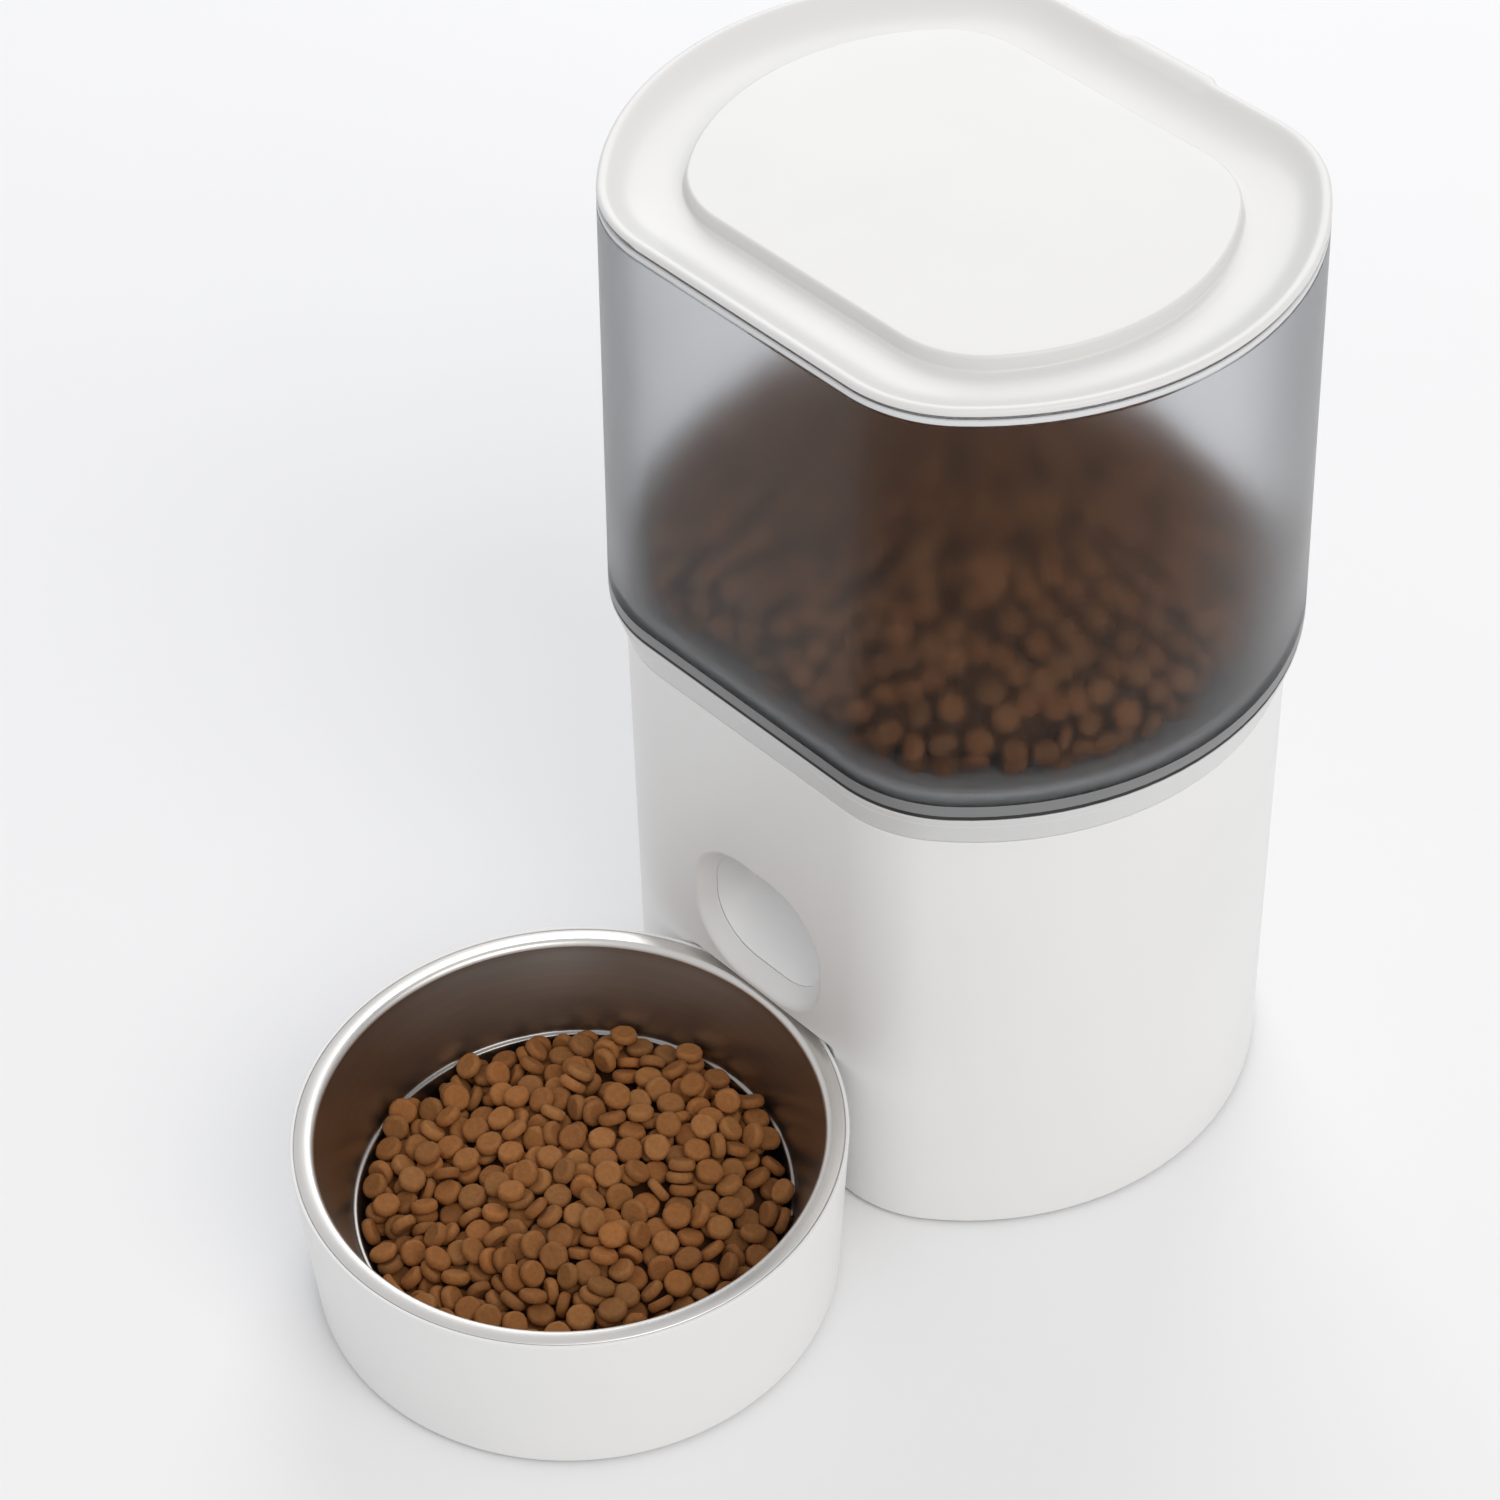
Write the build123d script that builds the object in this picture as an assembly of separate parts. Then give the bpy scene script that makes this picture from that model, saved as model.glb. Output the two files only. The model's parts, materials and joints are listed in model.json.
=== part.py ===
from build123d import *
import os
from math import atan2, cos, degrees, pi, radians, sin, sqrt, tan

# Automatic pet feeder: a food tank on a white base, with a steel bowl held in front of it.
# Millimetres, +Z up. The origin is on the floor under the centre of the whole feeder, -Y is the
# side with the bowl. The base, tank and lid share one upright axis, the bowl has its own.

# ---- driving dimensions -------------------------------------------------------------------
# A plan outline is (half width, half depth, side arc radius, corner radius). Taking the same
# amount off all four numbers moves the outline inwards by that amount.
BASE_PLAN = (98.0, 81.0, 92.0, 40.0)
LID_PLAN = (99.0, 81.5, 96.3, 41.6)
TANK_FOOT_PLAN = (101.7, 84.2, 99.0, 44.3)

HATCH_PLAN = (94.0, 76.5, 91.3, 36.6)   # opening in the collar and tank foot for the funnel

FOOT_H = 1.2                # gap between the base's lower edge and the floor
BASE_TOP = 161.7            # where the collar meets the base
COLLAR_TOP = 174.6
TANK_FOOT = 175.6           # the gasket fills the millimetre between collar and tank
FLANGE_TOP = 177.8          # top of the tank's inward flange, which carries the funnel
TANK_TOP = 313.0
LID_EDGE = 313.3            # lower edge of the lid's rim
LID_TOP = 315.4
WALL = 2.5                  # base wall
TANK_WALL = 2.2

BOWL_PITCH = 156.2          # bowl axis to base axis
BOWL_RIM = 57.7
HOLDER_R = 81.6
HOLDER_FOOT_R = 78.2
FLANGE_R = 80.2             # steel flange, outside
BOWL_MOUTH_R = 74.5         # steel bowl, inside of its mouth
POCKET_R = 82.2             # hollow in the base's front that the holder sits in
BOWL_TIP = 20.0             # degrees that the bowl tips up about the rear edge of its flange

MOUTH_W, MOUTH_H, MOUTH_CORNER = 52.4, 46.8, 20.0
MOUTH_Z = 85.5              # middle of the food mouth
LIP, LIP_DEPTH = 4.7, 5.0   # width and depth of the mouth's sloped lip

ROTOR_Y = 10.0              # rotor axis, behind the base axis
DECK_Z = 149.0              # underside of the base's inner deck
ROTOR_CUP_R = 42.0
ROTOR_FLOOR = 115.5
SHAFT_R = 3.0

GEAR_MODULE = 0.9
GEAR_TEETH, PINION_TEETH = 38, 16
GEAR_Z, GEAR_H = 105.8, 6.5

RUN = 0.05                  # radial clearance of a running shaft
GAP = 0.3                   # clearance between separate mouldings

CELL_R, CELL_LENGTH = 16.6, 60.0
BAY_HALF_X, BAY_FRONT, BAY_BACK, BAY_TOP = 52.5, 7.0, 71.0, 39.0

# ---- places worked out from them ----------------------------------------------------------
OVERALL_DEPTH = BOWL_PITCH + HOLDER_R + TANK_FOOT_PLAN[1]
BASE_Y = OVERALL_DEPTH / 2 - TANK_FOOT_PLAN[1]
BOWL_Y = BASE_Y - BOWL_PITCH
FRONT = -BASE_PLAN[1]       # front and back faces of the base, measured from its own axis
BACK = BASE_PLAN[1]
MOTOR_Y = ROTOR_Y + GEAR_MODULE * (GEAR_TEETH + PINION_TEETH) / 2
POSTS = [(74, 18), (-74, 18), (72, -30), (-72, -30)]
FEET = [(66, 50), (-66, 50), (58, -56), (-58, -56)]
BOARD_HOLES = [(x, z) for x in (-31, 31) for z in (53, 95)]
BOARD_Y = 62.0
JACK_X, BUTTON_X, LIGHT_X, PANEL_Z = -18.0, 10.0, 24.0, 66.0


# ---- shapes used more than once -----------------------------------------------------------
def inset(plan, amount):
    return tuple(size - amount for size in plan)


def barrel(plan):
    """Flat front and back, bowed sides, rounded corners."""
    half_w, half_d, side_r, corner_r = plan
    side_x = half_w - side_r
    corner_y = half_d - corner_r
    corner_x = side_x + sqrt((side_r - corner_r) ** 2 - corner_y ** 2)
    turn = degrees(atan2(corner_y, corner_x - side_x))
    edges = []
    for flip in (0, 180):
        half = [
            CenterArc((corner_x, -corner_y), corner_r, -90, 90 - turn),
            CenterArc((side_x, 0), side_r, -turn, 2 * turn),
            CenterArc((corner_x, corner_y), corner_r, turn, 90 - turn),
            Line((corner_x, half_d), (-corner_x, half_d)),
        ]
        edges += [Rot(0, 0, flip) * edge for edge in half]
    return make_face(edges)


def prism(plan, low, high):
    return Pos(0, 0, low) * extrude(barrel(plan), high - low)


def ring(plan, outer, inner, low, high):
    return prism(inset(plan, outer), low, high) - prism(inset(plan, inner), low - 1, high + 1)


def taper(low_plan, low, high_plan, high):
    """Straight walls from one plan to another."""
    return loft([Pos(0, 0, low) * barrel(low_plan), Pos(0, 0, high) * barrel(high_plan)], ruled=True)


def rod(radius, low, high, x=0.0, y=0.0):
    return Pos(x, y, low) * Cylinder(radius, high - low, align=(Align.CENTER, Align.CENTER, Align.MIN))


def rod_y(radius, front, back, x=0.0, z=0.0):
    """A cylinder along Y, from front to back."""
    return Pos(x, front, z) * Rot(-90, 0, 0) * rod(radius, 0, back - front)


def block(x_range, y_range, z_range):
    size = [high - low for low, high in (x_range, y_range, z_range)]
    return Pos(x_range[0], y_range[0], z_range[0]) * Box(*size, align=(Align.MIN,) * 3)


def group(shapes):
    """Separate solids of one node."""
    return Compound([solid for shape in shapes for solid in shape.solids()])


def screw(length, shank_r=1.4, head_r=2.6, head_h=1.8):
    """A cross-head screw, its head's bearing face at z = 0 and its shank going up."""
    body = rod(head_r, -head_h, 0) + rod(shank_r, 0, length)
    slot_half, slot_w, slot_d = head_r * 0.6, 0.35, head_h * 0.5
    for reach_x, reach_y in ((slot_half, slot_w), (slot_w, slot_half)):
        body -= block((-reach_x, reach_x), (-reach_y, reach_y), (-head_h - 1, -head_h + slot_d))
    return body


def mouth_plate(width, height, corner, front, back):
    """A rounded rectangle standing across the food mouth, from front to back."""
    face = RectangleRounded(width, height, corner)
    return Pos(0, back, MOUTH_Z) * Rot(90, 0, 0) * extrude(face, back - front)


def mouth_flare():
    """Space in front of the mouth's sloped lip: it narrows from the front face inwards."""
    slope = LIP / LIP_DEPTH
    sections = []
    for depth in (-0.5, LIP_DEPTH + 0.01):
        inwards = slope * depth
        face = RectangleRounded(MOUTH_W - 2 * inwards, MOUTH_H - 2 * inwards, MOUTH_CORNER - inwards)
        sections.append(Pos(0, FRONT + depth, MOUTH_Z) * Rot(90, 0, 0) * face)
    return loft(sections, ruled=True)


def pocket(radius, top):
    return rod(radius, -1, top, y=-BOWL_PITCH)


def tipping_room(low):
    """Room over the pocket that the flange needs while the bowl tips up."""
    rear, front = FLANGE_R - BOWL_PITCH, FRONT - 1
    side = Polyline((rear, low - 1), (rear, low), (front, low + (rear - front) * tan(radians(BOWL_TIP))),
                    (front, low - 1), close=True)
    wedge = extrude(Plane.YZ * make_face(side), 40, both=True)
    return wedge & rod(POCKET_R, low - 2, low + 10, y=-BOWL_PITCH)


# ---- base ---------------------------------------------------------------------------------
def base_housing():
    """White outer shell with an inner deck, open underneath."""
    shell = prism(BASE_PLAN, FOOT_H, BASE_TOP)
    shell -= pocket(POCKET_R, BOWL_RIM + 0.6) + tipping_room(BOWL_RIM + 0.6)
    room = prism(inset(BASE_PLAN, WALL), 0, DECK_Z) - pocket(POCKET_R + WALL, BOWL_RIM + 0.6 + WALL)
    shell -= room
    shell -= prism(inset(BASE_PLAN, WALL), DECK_Z + WALL, BASE_TOP + 1)
    shell -= rod(ROTOR_CUP_R - 2, DECK_Z - 1, DECK_Z + WALL + 1, y=ROTOR_Y)
    shell += mouth_plate(MOUTH_W, MOUTH_H, MOUTH_CORNER, FRONT + 1, FRONT + LIP_DEPTH)
    shell -= mouth_flare()
    for x, y in POSTS:
        shell += rod(4.0, 3.9, DECK_Z, x, y) - rod(1.45, 0, 16, x, y)
    for x, z in BOARD_HOLES:
        shell += rod_y(3.0, BOARD_Y + 1.7, BACK - WALL + 0.5, x, z) - rod_y(1.05, BOARD_Y, BACK - 4, x, z)
    shell -= rod_y(4.6, BACK - 5, BACK + 1, JACK_X, PANEL_Z)
    shell -= rod_y(5.0 + GAP, BACK - 5, BACK + 1, BUTTON_X, PANEL_Z)
    shell -= rod_y(1.5 + GAP / 2, BACK - 5, BACK + 1, LIGHT_X, PANEL_Z)
    for x, y in cup_screw_places():
        shell -= rod(1.45, DECK_Z - 1, DECK_Z + WALL + 1, x, y)
    for x in (-18, 18):
        shell -= block((x - 4.6, x + 4.6), (FRONT, FRONT + 16), (11.6, 15.4))
    return shell


def base_plate():
    """Underside cover, with the battery bay standing on it."""
    plate = prism(inset(BASE_PLAN, WALL + GAP), FOOT_H, FOOT_H + 2.5)
    plate -= pocket(POCKET_R + WALL + GAP, BOWL_RIM)
    bay_wall = 2.0
    outside = block((-BAY_HALF_X - bay_wall, BAY_HALF_X + bay_wall),
                    (BAY_FRONT - bay_wall, BAY_BACK + bay_wall), (FOOT_H, BAY_TOP + bay_wall))
    inside = block((-BAY_HALF_X, BAY_HALF_X), (BAY_FRONT, BAY_BACK), (0, BAY_TOP))
    plate = plate + outside - inside
    for x in (-CELL_R - 0.6, CELL_R + 0.6):
        plate += block((x - 0.4, x + 0.4), (BAY_FRONT, BAY_BACK), (BAY_TOP - 6, BAY_TOP))
    for x, y in POSTS:
        plate -= rod(1.6, 0, 5, x, y) + rod(2.9, 0, FOOT_H + 1.3, x, y)
    for x, y in FEET:
        plate -= rod(7.1, 0, FOOT_H + 1.0, x, y)
    return plate


def base_screws():
    return group([Pos(x, y, FOOT_H + 1.3) * screw(13, head_h=1.2) for x, y in POSTS])


def rubber_feet():
    foot = rod(7.0, 0, FOOT_H + 1.0)
    foot = fillet(foot.edges().sort_by(Axis.Z)[0], 0.5)
    return group([Pos(x, y, 0) * foot for x, y in FEET])


def battery_door():
    door = block((-BAY_HALF_X + GAP, BAY_HALF_X - GAP), (BAY_FRONT + GAP, BAY_BACK - GAP),
                 (FOOT_H + 0.2, FOOT_H + 2.2))
    door = fillet(door.edges().filter_by(Axis.Z), 2.0)
    door -= Pos(0, BAY_BACK - 9, FOOT_H - 5.2) * Sphere(7.0)
    for step in range(-3, 4):
        door += block((step * 8 - 0.6, step * 8 + 0.6), (BAY_FRONT + 6, BAY_BACK - 22),
                      (FOOT_H + 2.2, FOOT_H + 3.0))
    return door


def cell_places():
    pitch = 2 * CELL_R + 1.2
    return [step * pitch for step in (-1, 0, 1)]


def batteries():
    """Three large round cells lying side by side."""
    middle_y, middle_z = (BAY_FRONT + BAY_BACK) / 2, FOOT_H + 3.4 + CELL_R
    cell = rod_y(CELL_R, middle_y - CELL_LENGTH / 2, middle_y + CELL_LENGTH / 2 - 1.5, 0, middle_z)
    cell = fillet(cell.edges(), 1.0)
    cell += rod_y(4.7, middle_y + CELL_LENGTH / 2 - 1.6, middle_y + CELL_LENGTH / 2, 0, middle_z)
    turned = Pos(0, middle_y, 0) * Rot(0, 0, 180) * Pos(0, -middle_y, 0) * cell
    return group([Pos(x, 0, 0) * (turned if x == 0 else cell) for x in cell_places()])


def battery_contacts():
    middle_z = FOOT_H + 3.4 + CELL_R
    plates = []
    for x in cell_places():
        front = block((x - 7, x + 7), (BAY_FRONT, BAY_FRONT + 0.5), (middle_z - 7, middle_z + 7))
        front += rod_y(3.5, BAY_FRONT + 0.5, BAY_FRONT + 1.8, x, middle_z)
        back = block((x - 7, x + 7), (BAY_BACK - 0.5, BAY_BACK), (middle_z - 7, middle_z + 7))
        back += rod_y(3.5, BAY_BACK - 1.8, BAY_BACK - 0.5, x, middle_z)
        plates += [front, back]
    return group(plates)


def collar_ring():
    """Flared ring between the base and the tank."""
    collar = taper(BASE_PLAN, BASE_TOP, TANK_FOOT_PLAN, COLLAR_TOP)
    collar -= taper(inset(BASE_PLAN, WALL), BASE_TOP - 0.01, inset(TANK_FOOT_PLAN, WALL), COLLAR_TOP - WALL)
    collar += ring(BASE_PLAN, WALL + GAP, WALL + GAP + 2, DECK_Z + WALL, BASE_TOP + 2)
    collar += ring(BASE_PLAN, 1.5, WALL + GAP + 2, BASE_TOP, BASE_TOP + 2)
    return collar - prism(HATCH_PLAN, COLLAR_TOP - WALL - 1, COLLAR_TOP + 1)


# ---- food path ----------------------------------------------------------------------------
def duct(half_x, grow, front):
    """The chute's channel: a steep fall under the rotor, then a slope out to the mouth."""
    top = ROTOR_FLOOR
    low_mouth, high_mouth = 86 + (front + 46) * 0.613, 104 + (front + 77) * 0.146
    side = Polyline(
        (-12 + grow, top), (-12 + grow, 112 - grow), (-46, 86 - 1.2 * grow), (front, low_mouth - grow),
        (front, high_mouth + grow), (-29 - grow, 111 + grow), (-29 - grow, top), close=True)
    face = Plane.YZ * make_face(side)
    return extrude(face, half_x, both=True)


def food_chute():
    """Duct from the rotor cup's drop hole to the mouth, with a flange behind the lip."""
    front = FRONT + LIP_DEPTH + 0.2
    chute = duct(23.1, 1.6, front)
    chute += mouth_plate(MOUTH_W, MOUTH_H, MOUTH_CORNER, front, front + 1.6)
    chute -= duct(21.5, 0, front - 1) + Pos(0, 0.5, 0) * duct(21.5, 0, front - 1)
    for side in (-1, 1):
        chute -= Pos(side * 22.3, -58, 88) * Rot(0, 90, 0) * Cylinder(3.0 + GAP / 3, 4)
    return chute


def sensor_windows():
    window = Rot(0, 90, 0) * Cylinder(3.0, 2.4)
    return group([Pos(side * 22.7, -58, 88) * window for side in (-1, 1)])


def cup_screw_places():
    reach = 46.0
    return [(reach * cos(radians(a)), ROTOR_Y + reach * sin(radians(a))) for a in (45, 135, 225, 315)]


def rotor_cup():
    """Round housing that the rotor turns in, with a drop hole at its front."""
    cup = rod(ROTOR_CUP_R, ROTOR_FLOOR, DECK_Z) + rod(50.0, DECK_Z - 2.2, DECK_Z)
    cup -= rod(ROTOR_CUP_R - 2, ROTOR_FLOOR + 2.5, DECK_Z + 1)
    hole = block((-19, 19), (-38, -21.5), (ROTOR_FLOOR - 1, ROTOR_FLOOR + 4))
    cup -= hole & rod(38.0, ROTOR_FLOOR - 1, ROTOR_FLOOR + 4)
    cup += rod(8.0, ROTOR_FLOOR - 1.8, ROTOR_FLOOR)
    cup -= rod(5.0 + 0.02, ROTOR_FLOOR - 3, ROTOR_FLOOR + 3)
    for x, y in bracket_posts():
        cup += rod(2.6, GEAR_Z - 1.3, ROTOR_FLOOR, x, y - ROTOR_Y)
        cup -= rod(1.0, GEAR_Z - 2, ROTOR_FLOOR - 1, x, y - ROTOR_Y)
    cup = Pos(0, ROTOR_Y, 0) * cup
    for x, y in cup_screw_places():
        cup -= rod(1.6, DECK_Z - 3, DECK_Z + 1, x, y)
    return cup


def cup_screws():
    return group([Pos(x, y, DECK_Z - 2.2) * screw(4.6) for x, y in cup_screw_places()])


def shaft_bush():
    bush = rod(5.0, ROTOR_FLOOR - 1.8, ROTOR_FLOOR + 2.5)
    bush -= rod(SHAFT_R + RUN, ROTOR_FLOOR - 3, ROTOR_FLOOR + 4)
    return Pos(0, ROTOR_Y, 0) * bush


# ---- drive --------------------------------------------------------------------------------
def bracket_posts():
    return [(23, ROTOR_Y), (-23, ROTOR_Y), (17, MOTOR_Y + 6), (-17, MOTOR_Y + 6)]


def motor_bracket():
    """Plate hung under the rotor cup, carrying the motor and the lower end of the shaft."""
    front, back = ROTOR_Y - 12, MOTOR_Y + 14
    plate = block((-27, 27), (front, back), (GEAR_Z - 3.3, GEAR_Z - 1.3))
    plate = fillet(plate.edges().filter_by(Axis.Z), 5.0)
    plate -= rod(SHAFT_R + RUN, 90, 110, 0, ROTOR_Y) + rod(3.8, 90, 110, 0, MOTOR_Y)
    for x, y in bracket_posts():
        plate -= rod(1.3, 90, 110, x, y)
    for side in (-1, 1):
        plate -= rod(1.1, 90, 110, side * 10, MOTOR_Y)
    return plate


def bracket_screws():
    low = GEAR_Z - 3.3
    return group([Pos(x, y, low) * screw(8, 0.95, 2.0, 1.4) for x, y in bracket_posts()])


def motor_screws():
    """Two short screws from the top of the bracket into the gearbox."""
    top = GEAR_Z - 1.3
    short = Rot(180, 0, 0) * screw(5, 0.95, 1.7, 0.9)
    return group([Pos(side * 10, MOTOR_Y, top) * short for side in (-1, 1)])


def gearbox():
    box = rod(12.5, 84, GEAR_Z - 3.3) + rod(3.5, GEAR_Z - 3.4, GEAR_Z - 1.9)
    box = fillet(box.edges().sort_by(Axis.Z)[0], 1.0)
    box -= rod(2.0 + RUN, 90, GEAR_Z)
    for side in (-1, 1):
        box -= rod(1.0, GEAR_Z - 8, GEAR_Z - 3, side * 10, 0)
    return Pos(0, MOTOR_Y, 0) * box


def motor_can():
    can = rod(10.0, 58, 84)
    can = fillet(can.edges().sort_by(Axis.Z)[0], 1.5)
    can += rod(3.0, 56.5, 58.1)
    for side in (-1, 1):
        can += block((side * 5 - 1, side * 5 + 1), (-0.3, 0.3), (55.0, 58.1))
    return Pos(0, MOTOR_Y, 0) * can


def gear_face(teeth, first_angle):
    """Spur gear outline with involute flanks, thinned for backlash."""
    pitch_r = GEAR_MODULE * teeth / 2
    base_r = pitch_r * cos(radians(20))
    tip_r, root_r = pitch_r + 0.9 * GEAR_MODULE, pitch_r - 1.25 * GEAR_MODULE
    backlash = 0.12

    def flank(radius):
        """Half the tooth's angle at this radius."""
        grow = sqrt((radius / base_r) ** 2 - 1)
        pitch_grow = tan(radians(20))
        roll = (pitch_grow - radians(20)) - (grow - atan2(grow, 1))
        return pi / (2 * teeth) - backlash / pitch_r + roll

    start_r = max(base_r, root_r)
    radii = [start_r + (tip_r - start_r) * step / 4 for step in range(5)]
    points = []
    for tooth in range(teeth):
        middle = radians(first_angle) + 2 * pi * tooth / teeth
        rising = [(root_r, -flank(start_r))] + [(r, -flank(r)) for r in radii]
        falling = [(r, -angle) for r, angle in reversed(rising)]
        points += [(r * cos(middle + a), r * sin(middle + a)) for r, a in rising + falling]
    return make_face(Polyline(*points, close=True))


def drive_gear():
    gear = Pos(0, 0, GEAR_Z) * extrude(gear_face(GEAR_TEETH, 90), GEAR_H)
    gear -= rod(14.0, GEAR_Z + GEAR_H - 1.5, GEAR_Z + GEAR_H + 1) - rod(6.5, GEAR_Z, GEAR_Z + GEAR_H + 1)
    gear -= rod(SHAFT_R, GEAR_Z - 1, GEAR_Z + GEAR_H + 1)
    return Pos(0, ROTOR_Y, 0) * gear


def motor_pinion():
    facing_gap = -90 + 180 / PINION_TEETH
    pinion = Pos(0, 0, GEAR_Z) * extrude(gear_face(PINION_TEETH, facing_gap), GEAR_H)
    pinion -= rod(2.0, GEAR_Z - 1, GEAR_Z + GEAR_H + 1)
    return Pos(0, MOTOR_Y, 0) * pinion


def motor_shaft():
    return rod(2.0, 91, GEAR_Z + GEAR_H + 0.6, 0, MOTOR_Y)


def rotor_shaft():
    return rod(SHAFT_R, GEAR_Z - 3.0, 150.0, 0, ROTOR_Y)


def rotor_hub():
    """Hub with stub arms that carry the soft vanes."""
    hub = rod(13.0, 119.0, 146.5)
    hub = fillet(hub.edges().sort_by(Axis.Z)[-1], 3.0)
    for step in range(6):
        arm = block((12.0, 20.0), (-1.8, 1.8), (119.5, 143.0))
        hub += Rot(0, 0, 60 * step + 30) * arm
        hub -= Rot(0, 0, 60 * step + 30) * block((15.0, 21.0), (-0.6, 0.6), (118, 145))
    hub -= rod(SHAFT_R, 118, 148)
    return Pos(0, ROTOR_Y, 0) * hub


def rotor_vanes():
    """Soft paddles clipped into the arms."""
    vane = block((15.0, 38.5), (-0.6, 0.6), (119.5, 144.0))
    vane = fillet(vane.edges().filter_by(Axis.Y).sort_by(Axis.X)[-2:], 4.0)
    return group([Pos(0, ROTOR_Y, 0) * Rot(0, 0, 60 * step + 30) * vane for step in range(6)])


def agitator():
    """Cap with two bent fingers that stir the food above the rotor."""
    cap = rod(9.0, 146.5, 154.0)
    cap = fillet(cap.edges().sort_by(Axis.Z)[-1], 3.0)
    cap -= rod(SHAFT_R, 146, 150.0)
    for turn in (0, 180):
        path = FilletPolyline((4, 0, 150.5), (20, 0, 153.5), (27, 0, 168), radius=6)
        finger = sweep(Plane(path @ 0, z_dir=path % 0) * Circle(1.8), path)
        cap += Rot(0, 0, turn) * finger
    return Pos(0, ROTOR_Y, 0) * cap


def shaft_clip():
    """Retaining clip in the gap between the cup's boss and the drive gear."""
    low = GEAR_Z + GEAR_H + 0.1
    return Pos(0, ROTOR_Y, 0) * (rod(5.2, low, low + 0.8) - rod(SHAFT_R, low - 1, low + 2)
                                 - block((-1.6, 1.6), (0, 8), (low - 1, low + 2)))


# ---- electronics --------------------------------------------------------------------------
def circuit_board():
    board = block((-36, 36), (BOARD_Y, BOARD_Y + 1.6), (48, 100))
    board = fillet(board.edges().filter_by(Axis.Y), 2.0)
    for x, z in BOARD_HOLES:
        board -= rod_y(1.3, BOARD_Y - 1, BOARD_Y + 3, x, z)
    return board


def board_parts():
    """Module, chips, capacitors and plugs on the board's inner face."""
    low_y = BOARD_Y
    chips = [((-12, 6), 2.8, (70, 94)), ((12, 22), 1.6, (72, 82)), ((-26, -18), 6.0, (60, 66)),
             ((10, 20), 6.0, (52, 57)), ((-24, -18), 1.4, (80, 88)), ((12, 18), 2.0, (88, 93))]
    parts = [block(x, (low_y - height, low_y), z) for x, height, z in chips]
    parts += [rod_y(3.0, low_y - 9, low_y, x, 55) for x in (-8, 0)]
    return group(parts)


def board_screws():
    return group([Pos(x, BOARD_Y, z) * Rot(-90, 0, 0) * screw(7, 1.0, 2.2, 1.4) for x, z in BOARD_HOLES])


def tact_switch():
    front = BOARD_Y + 1.6
    switch = block((BUTTON_X - 3, BUTTON_X + 3), (front, front + 3.4), (PANEL_Z - 3, PANEL_Z + 3))
    return switch + rod_y(1.6, front + 3.4, front + 4.4, BUTTON_X, PANEL_Z)


def feed_button():
    """Round rear button, with a collar inside so that it can't fall out."""
    inner = BOARD_Y + 1.6 + 4.4 + 1.2
    button = rod_y(5.0, inner, BACK + 1.0, BUTTON_X, PANEL_Z)
    button = fillet(button.edges().sort_by(Axis.Y)[-1], 0.8)
    return button + rod_y(6.4, BACK - WALL - 2.0, BACK - WALL - 0.2, BUTTON_X, PANEL_Z)


def dc_jack():
    front = BOARD_Y + 1.6
    jack = block((JACK_X - 4.5, JACK_X + 4.5), (front, BACK - WALL - 0.4), (PANEL_Z - 5.5, PANEL_Z + 5.5))
    jack += rod_y(4.4, BACK - WALL - 0.5, BACK - 0.4, JACK_X, PANEL_Z)
    return jack - rod_y(2.8, BACK - 10.0, BACK + 1, JACK_X, PANEL_Z)


def status_light():
    """Clear light pipe from the board to the rear wall."""
    return rod_y(1.5, BOARD_Y + 1.8, BACK + 0.2, LIGHT_X, PANEL_Z)


def leads(points, spread):
    """Two thin wires side by side along one route."""
    wires = []
    for side in (-1, 1):
        route = [(x + side * spread, y, z) for x, y, z in points]
        path = FilletPolyline(*route, radius=4.0)
        wires.append(sweep(Plane(path @ 0, z_dir=path % 0) * Circle(0.7), path))
    return group(wires)


def motor_leads():
    return leads([(0, MOTOR_Y, 54.5), (0, MOTOR_Y, 48.0), (3.0, 50.0, 46.5), (15.0, 57.0, 48.0),
                  (15.0, BOARD_Y - 3.0, 51.5)], 1.6)


def battery_leads():
    plug_y = BOARD_Y - 3.0
    return leads([(-22, 50, BAY_TOP + 2.1), (-22, 50, 47), (-22, plug_y, 53), (-22, plug_y, 59.9)], 1.6)


# ---- tank ---------------------------------------------------------------------------------
def tank_plan_at(z):
    """The tank's outline at a height: it narrows a little from foot to top."""
    share = (z - TANK_FOOT) / (TANK_TOP - TANK_FOOT)
    return tuple(low + (high - low) * share for low, high in zip(TANK_FOOT_PLAN, LID_PLAN))


def tank():
    """Frosted food container, open at the top, with an inward flange at its foot."""
    walls = taper(TANK_FOOT_PLAN, TANK_FOOT, LID_PLAN, TANK_TOP)
    inner_foot, inner_top = inset(TANK_FOOT_PLAN, TANK_WALL), inset(LID_PLAN, TANK_WALL)
    walls -= taper(inner_foot, TANK_FOOT - 0.01, inner_top, TANK_TOP + 0.01)
    flange = prism(inset(TANK_FOOT_PLAN, TANK_WALL - 0.5), TANK_FOOT, FLANGE_TOP)
    return walls + (flange - prism(HATCH_PLAN, TANK_FOOT - 1, FLANGE_TOP + 1))


def tank_gasket():
    return ring(TANK_FOOT_PLAN, 0.5, 1.8, COLLAR_TOP, TANK_FOOT)


def round_plan(radius):
    """A circle in eight arcs, one for each edge of a barrel outline."""
    stops = [-75, -40, 40, 75, 105, 140, 220, 255, 285]
    arcs = [CenterArc((0, 0), radius, low, high - low) for low, high in zip(stops, stops[1:])]
    return make_face(arcs)


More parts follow.
